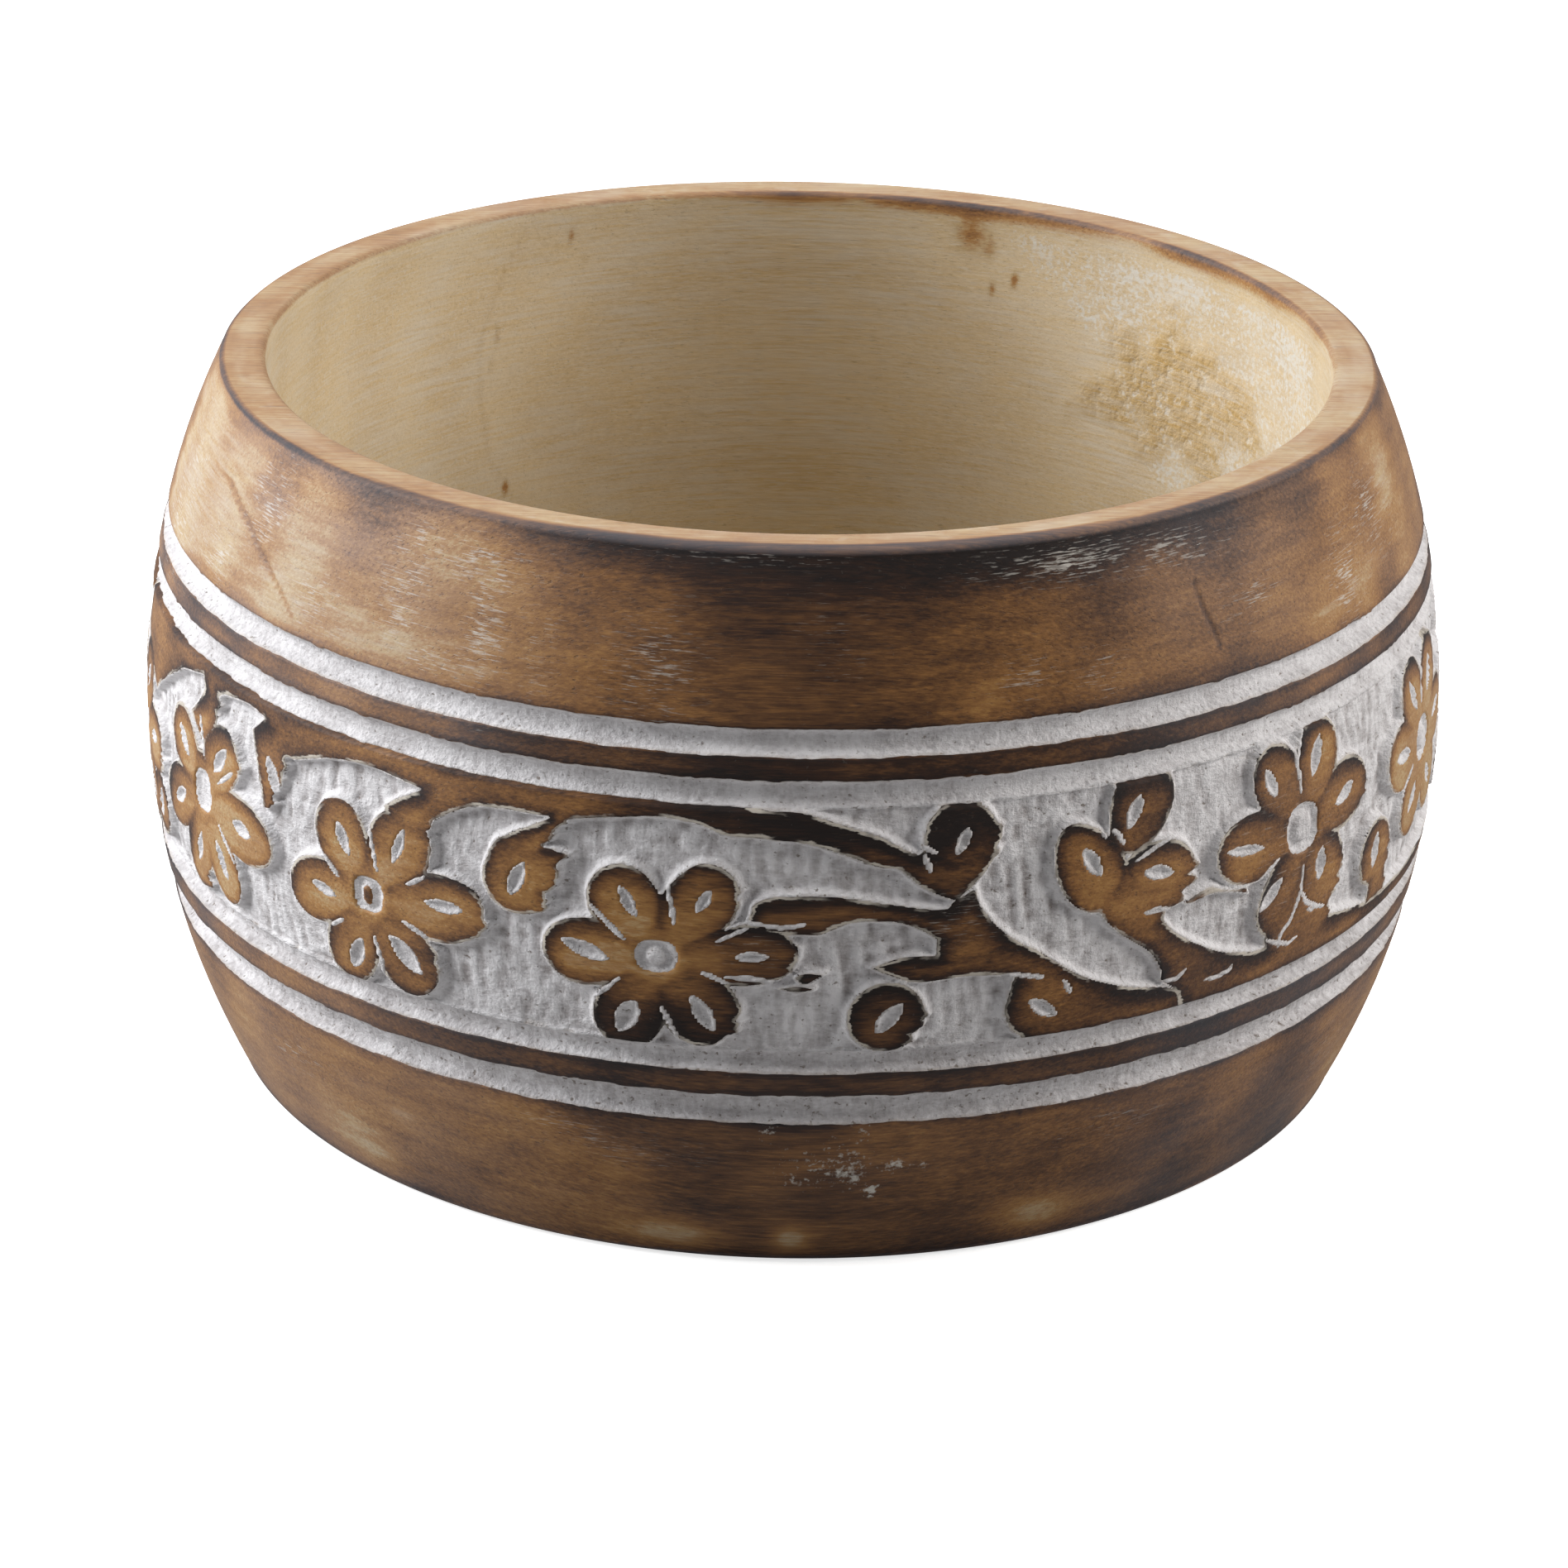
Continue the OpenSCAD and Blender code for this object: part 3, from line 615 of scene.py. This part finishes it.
def burn_outside():
    burn = 0.46 + 0.16 * cloud(10, 7, 101, 2, DEG + 1.3 * Z) + 0.1 * cloud(4, 0.5, 104)
    burn += 0.13 * cloud(4.5, 5, 107, 2, DEG - 0.8 * Z)
    burn += np.where(Z < BAND_LOW, 0.06, 0)
    for *spot, amount in BURN_SPOTS:
        burn += amount * blob(*spot)
    # Lips of grooves are charred
    for low, high, _, _, _ in GROOVES.values():
        lip = np.minimum(np.abs(Z - low), np.abs(Z - high))
        burn += 0.4 * np.exp(-lip / 0.34) * (0.75 + 0.25 * noise(5, 5, 111))
    bead = 0.17 * ((Z > 10.2) & (Z < 11.5)) + 0.1 * ((Z > -9.7) & (Z < -8.1))
    burn += bead * (1 + 0.6 * cloud(9, 3, 114))
    # The torch came from the upper left, so the edges that face there are burnt most
    faced = smooth(0.45 + 0.6 * (0.85 * FALLS_UP - 0.5 * FALLS_RIGHT))
    char = np.clip(0.95 + 0.5 * cloud(6, 4, 121, 2), 0.4, 1.4) * (0.6 + 0.5 * faced)
    band = smooth(IN_BAND / 0.3)
    burn += band * 0.58 * char * np.exp(-np.maximum(WOOD, 0) / (0.3 + 0.5 * faced))
    burn -= band * 0.1 * smooth(WOOD / 1.2)
    burn += 0.35 * np.exp(-(HALF_H - np.abs(Z)) / 0.5)
    burn += 0.15 * smooth(SPLIT / 0.15 + 1)
    return np.clip(burn, np.where(IN_BAND > 0, 0.27, 0.2), 1)


def dust_and_sheen_outside():
    """Thin bluish-grey veil: partly dust left by sanding the wash, partly painted sheen towards the sides.
    """
    # Painted sheen: the veil grows away from the front and on the left shoulder, where the left lamp grazes
    veil = 0.045 * smooth((np.abs(turn_from(DEG, 3)) - 18) / 18) + 0.08 * blob(-56, 19, 24, 7)
    veil = (veil + 0.018 * (Z < BAND_LOW)) * (1 + 0.5 * cloud(5, 2, 125))
    return np.clip(veil * np.where(IN_BAND > 0, 0.4, 1) + 0.008, 0, 0.3)


def strongest(spots):
    total = np.zeros(DEG.shape)
    for *spot, amount in spots:
        total = np.maximum(total, amount * blob(*spot))
    return total


BURN, DUST_AND_SHEEN = burn_outside(), dust_and_sheen_outside()
SCUFF = np.clip(strongest(SCUFFS) * (1 + 0.4 * cloud(3, 1, 131)), 0, 1.2)
FLAKED = np.clip(strongest(FLAKES) * (1 + 0.5 * cloud(1.2, 0.9, 135)), 0, 1)
EDGE = np.where(IN_BAND > -0.1, np.clip(WOOD, -1, 1), 1)


# ---- meshes
def place_points(radius, deg, z):
    """World points in metres from a radius and height in mm."""
    a = np.radians(deg)
    return np.stack([radius * np.sin(a), -radius * np.cos(a), z + HALF_H], -1).reshape(-1, 3) * MM


def make_mesh(name, points, quads, material, fields):
    mesh = bpy.data.meshes.new(name)
    mesh.vertices.add(len(points))
    mesh.vertices.foreach_set("co", points.astype(np.float32).ravel())
    mesh.loops.add(quads.size)
    mesh.loops.foreach_set("vertex_index", quads.astype(np.int32).ravel())
    mesh.polygons.add(len(quads))
    mesh.polygons.foreach_set("loop_start", np.arange(0, quads.size, 4, dtype=np.int32))
    mesh.polygons.foreach_set("use_smooth", np.ones(len(quads), bool))
    mesh.update(calc_edges=True)
    for key, values in fields.items():
        layer = mesh.attributes.new(key, "FLOAT", "POINT")
        layer.data.foreach_set("value", np.ascontiguousarray(values, np.float32).ravel())
    mesh.materials.append(material)
    piece = bpy.data.objects.new(name, mesh)
    bpy.context.scene.collection.objects.link(piece)
    return piece


def closed_loop_quads(rows):
    """Faces of a grid that closes round the ring and round its section."""
    i = np.arange(rows)[:, None]
    j = np.arange(COLS)[None, :]
    i1, j1 = (i + 1) % rows, (j + 1) % COLS
    return np.stack([i * COLS + j, i * COLS + j1, i1 * COLS + j1, i1 * COLS + j], -1).reshape(-1, 4)


def quarter(centre_r, centre_z, radius, start):
    """Points round a quarter turn of an edge, as (radius, height)."""
    a = np.radians(np.linspace(start, start + 90, 4))
    return [(centre_r + radius * math.cos(t), centre_z + radius * math.sin(t)) for t in a]


def section_path():
    """The section past the outside wall, from the top of that wall round to its foot: (radius, height)."""
    top_r = BARREL[-1, 0]
    path = quarter(top_r - RIM_ROUND, HALF_H - RIM_ROUND, RIM_ROUND, 0)[1:]
    inner = BORE_R + BORE_ROUND
    path += [(r, HALF_H) for r in np.linspace(top_r - RIM_ROUND, inner, 7)[1:-1]]
    path += quarter(inner, HALF_H - BORE_ROUND, BORE_ROUND, 90)
    bore_top = HALF_H - BORE_ROUND
    path += [(BORE_R, z) for z in np.linspace(bore_top, -bore_top, round(2 * bore_top / BORE_STEP))[1:-1]]
    path += quarter(inner, BORE_ROUND - HALF_H, BORE_ROUND, 180)
    path += [(r, -HALF_H) for r in np.linspace(inner, top_r - RIM_ROUND, 7)[1:-1]]
    path += quarter(top_r - RIM_ROUND, RIM_ROUND - HALF_H, RIM_ROUND, 270)[:-1]
    return np.array(path)


# Knots and dark pores on the bore: place, height, width in degrees, height in mm, amount
BORE_SPOTS = [
    (159.6, 20.6, 1.3, 0.9, 0.33), (157.2, 19.8, 0.6, 0.4, 0.25), (154, 17.6, 0.35, 0.25, 0.5),
    (156.8, 16.6, 0.3, 0.2, 0.6), (-152, 20.6, 0.3, 0.2, 0.3), (-153.6, 19, 0.3, 0.2, 0.3),
    (-142, 14.5, 0.3, 0.25, 0.5), (-141, 12.6, 0.25, 0.2, 0.4), (-143, 3.4, 0.35, 0.25, 0.5),
]
OCHRE_SPOT = (127, 12.4, 13, 4)
BORE_BURN, RIM_BURN = 0.05, 0.24
BORE_DUST, RIM_DUST = 0.03, 0.1


def rim_burn(deg, z, radius):
    left = smooth(-0.5 - 1.5 * np.sin(np.radians(deg)))
    burn = RIM_BURN + 0.04 * left + 0.06 * cloud(7, 2, 141, 3, deg, radius * 3)
    # The char creeps further over the rim at the front
    reach = 0.25 + 0.65 * smooth(1.3 - np.abs(turn_from(deg, 4)) / 50) + 0.1 * noise(8, 50, 146, deg, z)
    out_edge = smooth((radius - BARREL[-1, 0] + reach) / 0.3 + 0.4)
    return burn + (0.5 + 0.2 * noise(12, 50, 144, deg, z)) * out_edge


def inner_edge_burn(deg, z):
    """A dark line that follows the bore's upper edge round the back."""
    back = turn_from(deg, 150)
    span = smooth(back / 20 + 3) * smooth(2.5 - back / 20)
    return (0.32 + 0.2 * noise(5, 50, 145, deg, z)) * smooth((z - 22) / 0.3) * span


def left_arc(deg, z):
    """Where the growth ring on the bore's left lies, in degrees."""
    return -139.2 - 0.062 * (z - 11) ** 2 + 0.3 * noise(4, 3, 153, deg, z)


def bore_burn(deg, z):
    burn = BORE_BURN + 0.07 * np.exp(-((deg - left_arc(deg, z)) / 0.35) ** 2)
    for *spot, amount in BORE_SPOTS:
        burn += amount * blob(*spot, deg, z)
    return burn


def bore_lime(deg, z):
    """The limed patches, which growth rings bound with an arc on each side."""
    right_arc = 133 + 0.052 * z**2 + 2 * cloud(6, 1.2, 152, 3, deg, z)
    white = smooth((deg - 84) / 22) * smooth((right_arc - deg) / 7 + 0.5)
    white *= 0.7 + 0.35 * cloud(6, 3, 151, 3, deg, z)
    white += 0.25 * smooth((deg - left_arc(deg, z)) / 1.2 + 0.5) * smooth((-60 - deg) / 30)
    return white * smooth((22 - z) / 1.6)


def bore_ochre(deg, z):
    return smooth(2.4 * (blob(*OCHRE_SPOT, deg, z) - 0.38 + 0.45 * cloud(4, 2.6, 154, 3, deg, z)))


def ring_fields(deg, z, radius):
    """Every field over the rims and the bore."""
    bore = radius < BORE_R + 0.05
    burn = np.where(bore, bore_burn(deg, z), rim_burn(deg, z, radius))
    burn += inner_edge_burn(deg, z) * (radius < BORE_R + 0.2)
    return {
        "burn": np.clip(burn, 0, 1), "scuff": np.zeros(deg.shape),
        "lime": np.where(bore, np.clip(bore_lime(deg, z), 0, 1), 0),
        "ochre": np.where(bore, bore_ochre(deg, z), 0),
        "dust_and_sheen": np.where(bore, BORE_DUST, RIM_DUST), "edge": np.ones(deg.shape),
    }


def make_ring(material):
    path = section_path()
    deg, z = np.meshgrid(THETA, path[:, 1])
    radius = np.repeat(path[:, :1], COLS, 1)
    ripple = 0.02 * noise(30, 1.2, 161, deg, z)
    outside = {"burn": BURN, "scuff": SCUFF, "lime": FLAKED, "ochre": np.zeros(DEG.shape), "dust_and_sheen": DUST_AND_SHEEN,
               "edge": EDGE}
    within = ring_fields(deg, z, radius)
    fields = {key: np.concatenate([outside[key], within[key]]) for key in outside}
    radii = np.concatenate([SURFACE, radius + ripple])
    points = place_points(radii, np.concatenate([DEG, deg]), np.concatenate([Z, z]))
    return make_mesh("carved_ring", points, closed_loop_quads(len(radii)), material, fields)


LEAST_WASH = -0.04
WASH_ROOT = 0.06
# The wash outside the grooves is darkened and speckled a little
PLAIN_DARKENING = 0.1


def make_wash(name, thick, material):
    """A closed coat: its top lies on the cut, and dips under the wood where the wash ends."""
    shown = thick > LEAST_WASH
    cell = shown[:-1] | shown[1:]
    cell = cell | np.roll(cell, -1, 1)
    rows, cols = np.nonzero(cell)
    across = (cols + 1) % COLS
    corners = np.stack([rows * COLS + cols, rows * COLS + across, (rows + 1) * COLS + across,
                        (rows + 1) * COLS + cols], -1)
    used, index = np.unique(corners, return_inverse=True)
    top = index.reshape(-1, 4)
    under = top[:, ::-1] + len(used)
    framed = np.pad(cell, ((1, 1), (0, 0)))
    beside = (framed[:-2], np.roll(cell, -1, 1), framed[2:], np.roll(cell, 1, 1))
    walls = []
    for side, neighbour in enumerate(beside):
        bare = ~neighbour[rows, cols]
        a, b = top[bare, side], top[bare, (side + 1) % 4]
        walls.append(np.stack([b, a, a + len(used), b + len(used)], -1))
    quads = np.concatenate([top, under] + walls)
    surface, coat = SURFACE.ravel()[used], thick.ravel()[used]
    coat = np.clip(coat, LEAST_WASH - 0.02, None)
    deg, z = DEG.ravel()[used], Z.ravel()[used]
    points = np.concatenate([place_points(surface + coat, deg, z),
                             place_points(surface - WASH_ROOT - np.maximum(-coat, 0), deg, z)])
    thin = 1 - np.clip(coat / 0.06, 0, 1)
    darkening = GROOVES[name][4] if name in GROOVES else PLAIN_DARKENING
    # The painted shade of hollows goes on the wash as an attribute
    fields = {"thin": np.tile(thin, 2), "hollow_shade": np.tile(HOLLOW_SHADE.ravel()[used], 2),
              "darkening": np.full(len(points), darkening)}
    return make_mesh(name.replace("wash", "chalk"), points, quads, material, fields)


# ---- materials
class Nodes:
    """A short way to write a shader's node tree."""

    def __init__(self, name):
        self.material = bpy.data.materials.new(name)
        self.material.use_nodes = True
        self.tree = self.material.node_tree
        self.shader = self.tree.nodes["Principled BSDF"]

    def new(self, kind, inputs=(), **settings):
        node = self.tree.nodes.new("ShaderNode" + kind)
        for key, value in settings.items():
            setattr(node, key, value)
        self.fill(node, dict(inputs))
        return node

    def fill(self, node, inputs):
        for key, value in inputs.items():
            self.put(node.inputs[key], value)

    def put(self, socket, value):
        if isinstance(value, bpy.types.NodeSocket):
            self.tree.links.new(value, socket)
        elif socket.type == "RGBA":
            socket.default_value = (*value, 1)
        else:
            socket.default_value = value

    def math(self, how, a, b=0.0, clamp=False):
        return self.new("Math", {0: a, 1: b}, operation=how, use_clamp=clamp).outputs[0]

    def plus(self, *terms):
        total = terms[0]
        for term in terms[1:]:
            total = self.math("ADD", total, term)
        return total

    def minus(self, a, b):
        return self.math("SUBTRACT", a, b)

    def times(self, a, b, clamp=False):
        return self.math("MULTIPLY", a, b, clamp)

    def swing(self, noise, amount):
        """A noise of 0 to 1, turned into one about nought."""
        return self.times(self.minus(noise, 0.5), amount)

    def field(self, name):
        return self.new("Attribute", attribute_name=name).outputs["Fac"]

    def place(self):
        return self.new("TexCoord").outputs["Object"]

    def noise(self, cell, detail=3.0, rough=0.5, twist=0.0):
        """A noise of 0 to 1 whose cells have these sizes in mm."""
        scale = tuple(1 / MM / side for side in cell)
        vector = self.new("Mapping", {"Vector": self.place(), "Scale": scale}).outputs[0]
        return self.new("TexNoise", {"Vector": vector, "Scale": 1.0, "Detail": detail, "Roughness": rough,
                                     "Distortion": twist}).outputs[0]

    def spread(self, value, low, high, to_low=0.0, to_high=1.0):
        return self.new("MapRange", {0: value, 1: low, 2: high, 3: to_low, 4: to_high}).outputs[0]

    def mix(self, factor, a, b):
        return self.new("Mix", {0: factor, 6: a, 7: b}, data_type="RGBA").outputs[2]

    def ramp(self, value, stops):
        node = self.new("ValToRGB", {0: value})
        while len(node.color_ramp.elements) < len(stops):
            node.color_ramp.elements.new(0.5)
        for element, (at, colour) in zip(node.color_ramp.elements, stops):
            element.position = at
            element.color = (*colour, 1)
        return node.outputs[0]

    def bump(self, height, distance, strength, normal=None):
        inputs = {"Height": height, "Distance": distance * MM, "Strength": strength}
        if normal is not None:
            inputs["Normal"] = normal
        return self.new("Bump", inputs).outputs[0]


TORCHED = [(0.0, (0.63, 0.485, 0.285)), (0.14, (0.51, 0.365, 0.185)), (0.3, (0.38, 0.19, 0.056)),
           (0.46, (0.245, 0.11, 0.032)), (0.62, (0.125, 0.053, 0.017)), (0.8, (0.04, 0.016, 0.007)),
           (1.0, (0.013, 0.007, 0.005))]
PORE_BROWN, OCHRE, LIME = (0.05, 0.026, 0.013), (0.47, 0.30, 0.095), (0.64, 0.61, 0.55)
# The bluish grey is the colour of the veil of dust and painted sheen
SCUFF_WHITE, DUST_AND_SHEEN_GREY, LIP_CREAM = (0.66, 0.62, 0.56), (0.55, 0.60, 0.70), (0.66, 0.60, 0.52)
# The pith runs from side to side past the back, and growth rings lie this far apart, in mm
PITH_Y, PITH_Z, GROWTH = 41.0, 32.0, 6.5


def growth_rings(n):
    """Waves round the pith, from -1 to 1."""
    axes = n.new("SeparateXYZ", {0: n.place()})
    y = n.minus(axes.outputs[1], PITH_Y * MM)
    z = n.minus(axes.outputs[2], PITH_Z * MM)
    from_pith = n.math("POWER", n.plus(n.times(y, y), n.times(z, z)), 0.5)
    wander = n.times(n.noise((26, 16, 16), 2), 7 * MM)
    return n.math("SINE", n.times(n.plus(from_pith, wander), 2 * math.pi / (GROWTH * MM)))


def torched_colour(n, burn, fibre, fleck, mottle):
    streak = n.noise((7, 0.13, 0.13), 3, 0.7)
    grain = n.plus(n.swing(fibre, 0.46), n.swing(fleck, 0.22), n.swing(mottle, 0.2), n.swing(streak, 0.4),
                   n.times(growth_rings(n), 0.05))
    # Raw wood shows less of the torch's mottling than burnt wood
    toned = n.math("ADD", burn, n.times(grain, n.spread(burn, 0.1, 0.5, 0.5, 1.0)), True)
    return n.ramp(toned, TORCHED)


def limed_colour(n, colour, ochre, pits, raw, mottle, strands):
    """Ochre, flaky lime, and the pale haze and flecks of raw wood."""
    colour = n.mix(n.times(ochre, n.spread(pits, 0.33, 0.47)), colour, OCHRE)
    grit = n.noise((0.34, 0.34, 0.3), 3, 0.6)
    grain = n.spread(n.noise((5, 5, 0.28), 4, 0.65), 0.35, 0.62)
    flaked = n.plus(n.field("lime"), n.spread(grit, 0.3, 0.7, -0.44, 0.44))
    limed = n.times(n.spread(flaked, 0.42, 0.85), n.spread(grain, 0, 1, 0.6, 1.0))
    limed = n.times(limed, n.minus(1.0, n.times(ochre, n.spread(pits, 0.3, 0.5))))
    haze = n.times(n.times(raw, n.spread(mottle, 0.3, 0.6, 0.05, 0.5)), grain)
    haze = n.math("MAXIMUM", haze, n.times(raw, n.spread(strands, 0.52, 0.64, 0.0, 0.4)))
    return n.mix(n.math("MAXIMUM", limed, haze, True), colour, LIME)


def worn_colour(n, colour, fleck, strands):
    """Hairline scuffs, the veil of dust and painted sheen, and a cream line of wash on the torn lip of the
    carving.
    """
    scuff = n.field("scuff")
    wanted = n.minus(0.645, n.times(scuff, 0.15))
    hair = n.times(n.minus(strands, wanted), 16.0, True)
    hair = n.times(n.times(hair, scuff), n.spread(fleck, 0.4, 0.6, 0.3, 1.0), True)
    colour = n.mix(n.times(hair, 0.8), colour, SCUFF_WHITE)
    # The veil is dust and painted sheen
    colour = n.mix(n.field("dust_and_sheen"), colour, DUST_AND_SHEEN_GREY)
    torn = n.noise((0.9, 0.9, 0.22), 3, 0.6)
    lip = n.plus(n.field("edge"), n.swing(torn, 0.5))
    lip = n.spread(n.math("ABSOLUTE", n.minus(lip, 0.13)), 0.13, 0.06)
    patch = n.spread(n.noise((2.6, 2.6, 2.6), 2), 0.42, 0.54)
    return n.mix(n.times(n.times(lip, patch), 0.8), colour, LIP_CREAM)


def wood_material():
    n = Nodes("turned_wood")
    fibre = n.noise((3.2, 0.2, 0.2), 4, 0.65)
    pore = n.noise((2.2, 0.13, 0.13), 2, 0.5)
    fleck = n.noise((1.0, 1.0, 0.35), 3, 0.55, 0.6)
    mottle = n.noise((9, 9, 5), 3, 0.55, 0.5)
    pits = n.noise((0.9, 0.9, 0.9), 3, 0.6)
    strands = n.noise((1.1, 1.1, 0.09), 3, 0.55)
    lathe = n.noise((30, 30, 0.35), 2)
    burn, ochre = n.field("burn"), n.field("ochre")
    raw = n.spread(burn, 0.3, 0.12)
    dark_pore = n.times(n.spread(pore, 0.38, 0.29), n.spread(burn, 0.02, 0.4, 0.4, 1.0))

    colour = torched_colour(n, burn, fibre, fleck, mottle)
    colour = n.mix(n.times(dark_pore, 0.5), colour, PORE_BROWN)
    colour = limed_colour(n, colour, ochre, pits, raw, mottle, strands)
    colour = worn_colour(n, colour, fleck, strands)
    rough = n.math("ADD", n.spread(fibre, 0.3, 0.7, 0.42, 0.6), n.times(raw, 0.2), True)
    rough = n.math("ADD", rough, n.spread(burn, 0.5, 0.9, 0, 0.2), True)
    normal = n.bump(n.plus(fibre, n.times(dark_pore, -0.6)), 0.05, 0.55)
    normal = n.bump(n.times(pits, ochre), 0.4, 0.7, normal)
    normal = n.bump(lathe, 0.05, 0.4, normal)
    n.fill(n.shader, {"Base Color": colour, "Roughness": rough, "Normal": normal, "Specular IOR Level": 0.2,
                      "Sheen Weight": 0.06, "Sheen Roughness": 0.42, "Sheen Tint": (0.92, 0.96, 1)})
    return n.material


CHALKY = [(0.2, (0.24, 0.21, 0.20)), (0.4, (0.53, 0.505, 0.51)), (0.56, (0.76, 0.74, 0.75))]
SPECK_BROWN, SHOWN_WOOD = (0.12, 0.085, 0.055), (0.40, 0.30, 0.21)


def chalk_material():
    n = Nodes("chalk_wash")
    cloudy = n.noise((2.4, 2.4, 1.6), 4, 0.6, 0.4)
    fine = n.noise((0.5, 0.5, 0.22), 4, 0.65)
    ticks = n.noise((0.3, 0.3, 1.2), 3, 0.6)
    specks = n.noise((0.35, 0.35, 0.3), 2, 0.5)
    hollow_shade, darkening = n.field("hollow_shade"), n.field("darkening")
    tone = n.plus(n.times(cloudy, 0.4), n.times(fine, 0.35), n.times(ticks, 0.25))
    # Painted shade: the wash is made darker in hollows and lighter on ridges and lips
    tone = n.minus(tone, n.times(n.minus(hollow_shade, 0.3), 0.3))
    # The wash of the lower grooves is made darker, with more brown specks
    tone = n.minus(tone, n.times(darkening, 0.09))
    colour = n.ramp(tone, CHALKY)
    dotted = n.spread(n.plus(specks, n.times(darkening, -0.04)), 0.335, 0.255)
    colour = n.mix(n.times(dotted, 0.7), colour, SPECK_BROWN)
    thin = n.times(n.field("thin"), n.spread(fine, 0.35, 0.65, 0.3, 1.0), True)
    colour = n.mix(n.times(thin, 0.6), colour, SHOWN_WOOD)
    relief = n.plus(fine, n.times(specks, 0.5), n.times(ticks, 0.5))
    n.fill(n.shader, {"Base Color": colour, "Roughness": 0.86, "Specular IOR Level": 0.25,
                      "Normal": n.bump(relief, 0.17, 0.85)})
    return n.material


# ---- floor, light and camera
def make_floor():
    """A white floor that throws back only a little light, as behind flags."""
    bpy.ops.mesh.primitive_plane_add(size=6, location=(0, 0, -0.0002))
    floor = bpy.context.object
    floor.name = "floor"
    n = Nodes("pale_floor")
    seen = n.new("LightPath").outputs["Is Camera Ray"]
    n.fill(n.shader, {"Base Color": n.mix(seen, (0.36, 0.36, 0.36), (0.95, 0.95, 0.95)), "Roughness": 0.9,
                      "Emission Strength": n.times(seen, 0.7), "Emission Color": (1, 1, 1)})
    floor.data.materials.append(n.material)


def soft_light(name, azimuth, elevation, distance, size, power, tint):
    """A square soft box that faces the ring. Azimuth 0 is the front, 90 the right."""
    a, e = math.radians(azimuth), math.radians(elevation)
    lamp = bpy.data.lights.new(name, "AREA")
    lamp.size, lamp.energy, lamp.color = size, power, tint
    box = bpy.data.objects.new(name, lamp)
    box.location = Vector((math.sin(a) * math.cos(e), -math.cos(a) * math.cos(e), math.sin(e))) * distance
    box.location.z += HALF_H * MM
    box.rotation_euler = (-box.location).to_track_quat("-Z", "Y").to_euler()
    bpy.context.scene.collection.objects.link(box)


def make_world(strength):
    """A weak even light; to the camera the wall behind is white."""
    world = bpy.data.worlds.new("studio")
    world.use_nodes = True
    tree = world.node_tree
    path = tree.nodes.new("ShaderNodeLightPath")
    choice = tree.nodes.new("ShaderNodeMapRange")
    choice.inputs[3].default_value = strength
    choice.inputs[4].default_value = 1
    tree.links.new(path.outputs["Is Camera Ray"], choice.inputs[0])
    tree.links.new(choice.outputs[0], tree.nodes["Background"].inputs["Strength"])
    tree.nodes["Background"].inputs["Color"].default_value = (1, 1, 1, 1)
    bpy.context.scene.world = world


# The camera looks 23 degrees down on the ring from the front, a little out of level
CAMERA_AT = (0, -314.25, 150.04)
CAMERA_PITCH, CAMERA_YAW, CAMERA_ROLL, CAMERA_LENS = 23.177, -0.085, 1.032, 120.73


def make_camera():
    pitch, yaw, roll = (math.radians(v) for v in (CAMERA_PITCH, CAMERA_YAW, CAMERA_ROLL))
    ahead = Vector((math.sin(yaw) * math.cos(pitch), math.cos(yaw) * math.cos(pitch), -math.sin(pitch)))
    level = ahead.cross(Vector((0, 0, 1))).normalized()
    upright = level.cross(ahead)
    right = math.cos(roll) * level + math.sin(roll) * upright
    up = math.cos(roll) * upright - math.sin(roll) * level
    data = bpy.data.cameras.new("camera")
    data.lens, data.sensor_width = CAMERA_LENS, 36
    data.clip_start, data.clip_end = 0.01, 10
    camera = bpy.data.objects.new("camera", data)
    turn = Matrix((right, up, -ahead)).transposed().to_4x4()
    camera.matrix_world = Matrix.Translation(Vector(CAMERA_AT) * MM) @ turn
    bpy.context.scene.collection.objects.link(camera)
    bpy.context.scene.camera = camera


# ---- the scene
make_camera()
make_floor()
make_world(0.12)
soft_light("left_box", -94, 30, 0.75, 0.55, 9.0, (0.97, 0.985, 1.0))
soft_light("right_box", 88, 30, 0.75, 0.55, 5.2, (1.0, 0.98, 0.95))
soft_light("top_box", 180, 70, 0.8, 0.5, 1.5, (1.0, 1.0, 1.0))
bpy.context.scene.view_settings.view_transform = "Standard"

ring = make_ring(wood_material())
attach(ring, "root")
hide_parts("wooden_ring")
chalk = chalk_material()
for node, thick in WASH.items():
    coat = make_wash(node, thick, chalk)
    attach(coat, "root")
    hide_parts(node)


def corners(box):
    return [[float(v) for v in corner] for corner in box]
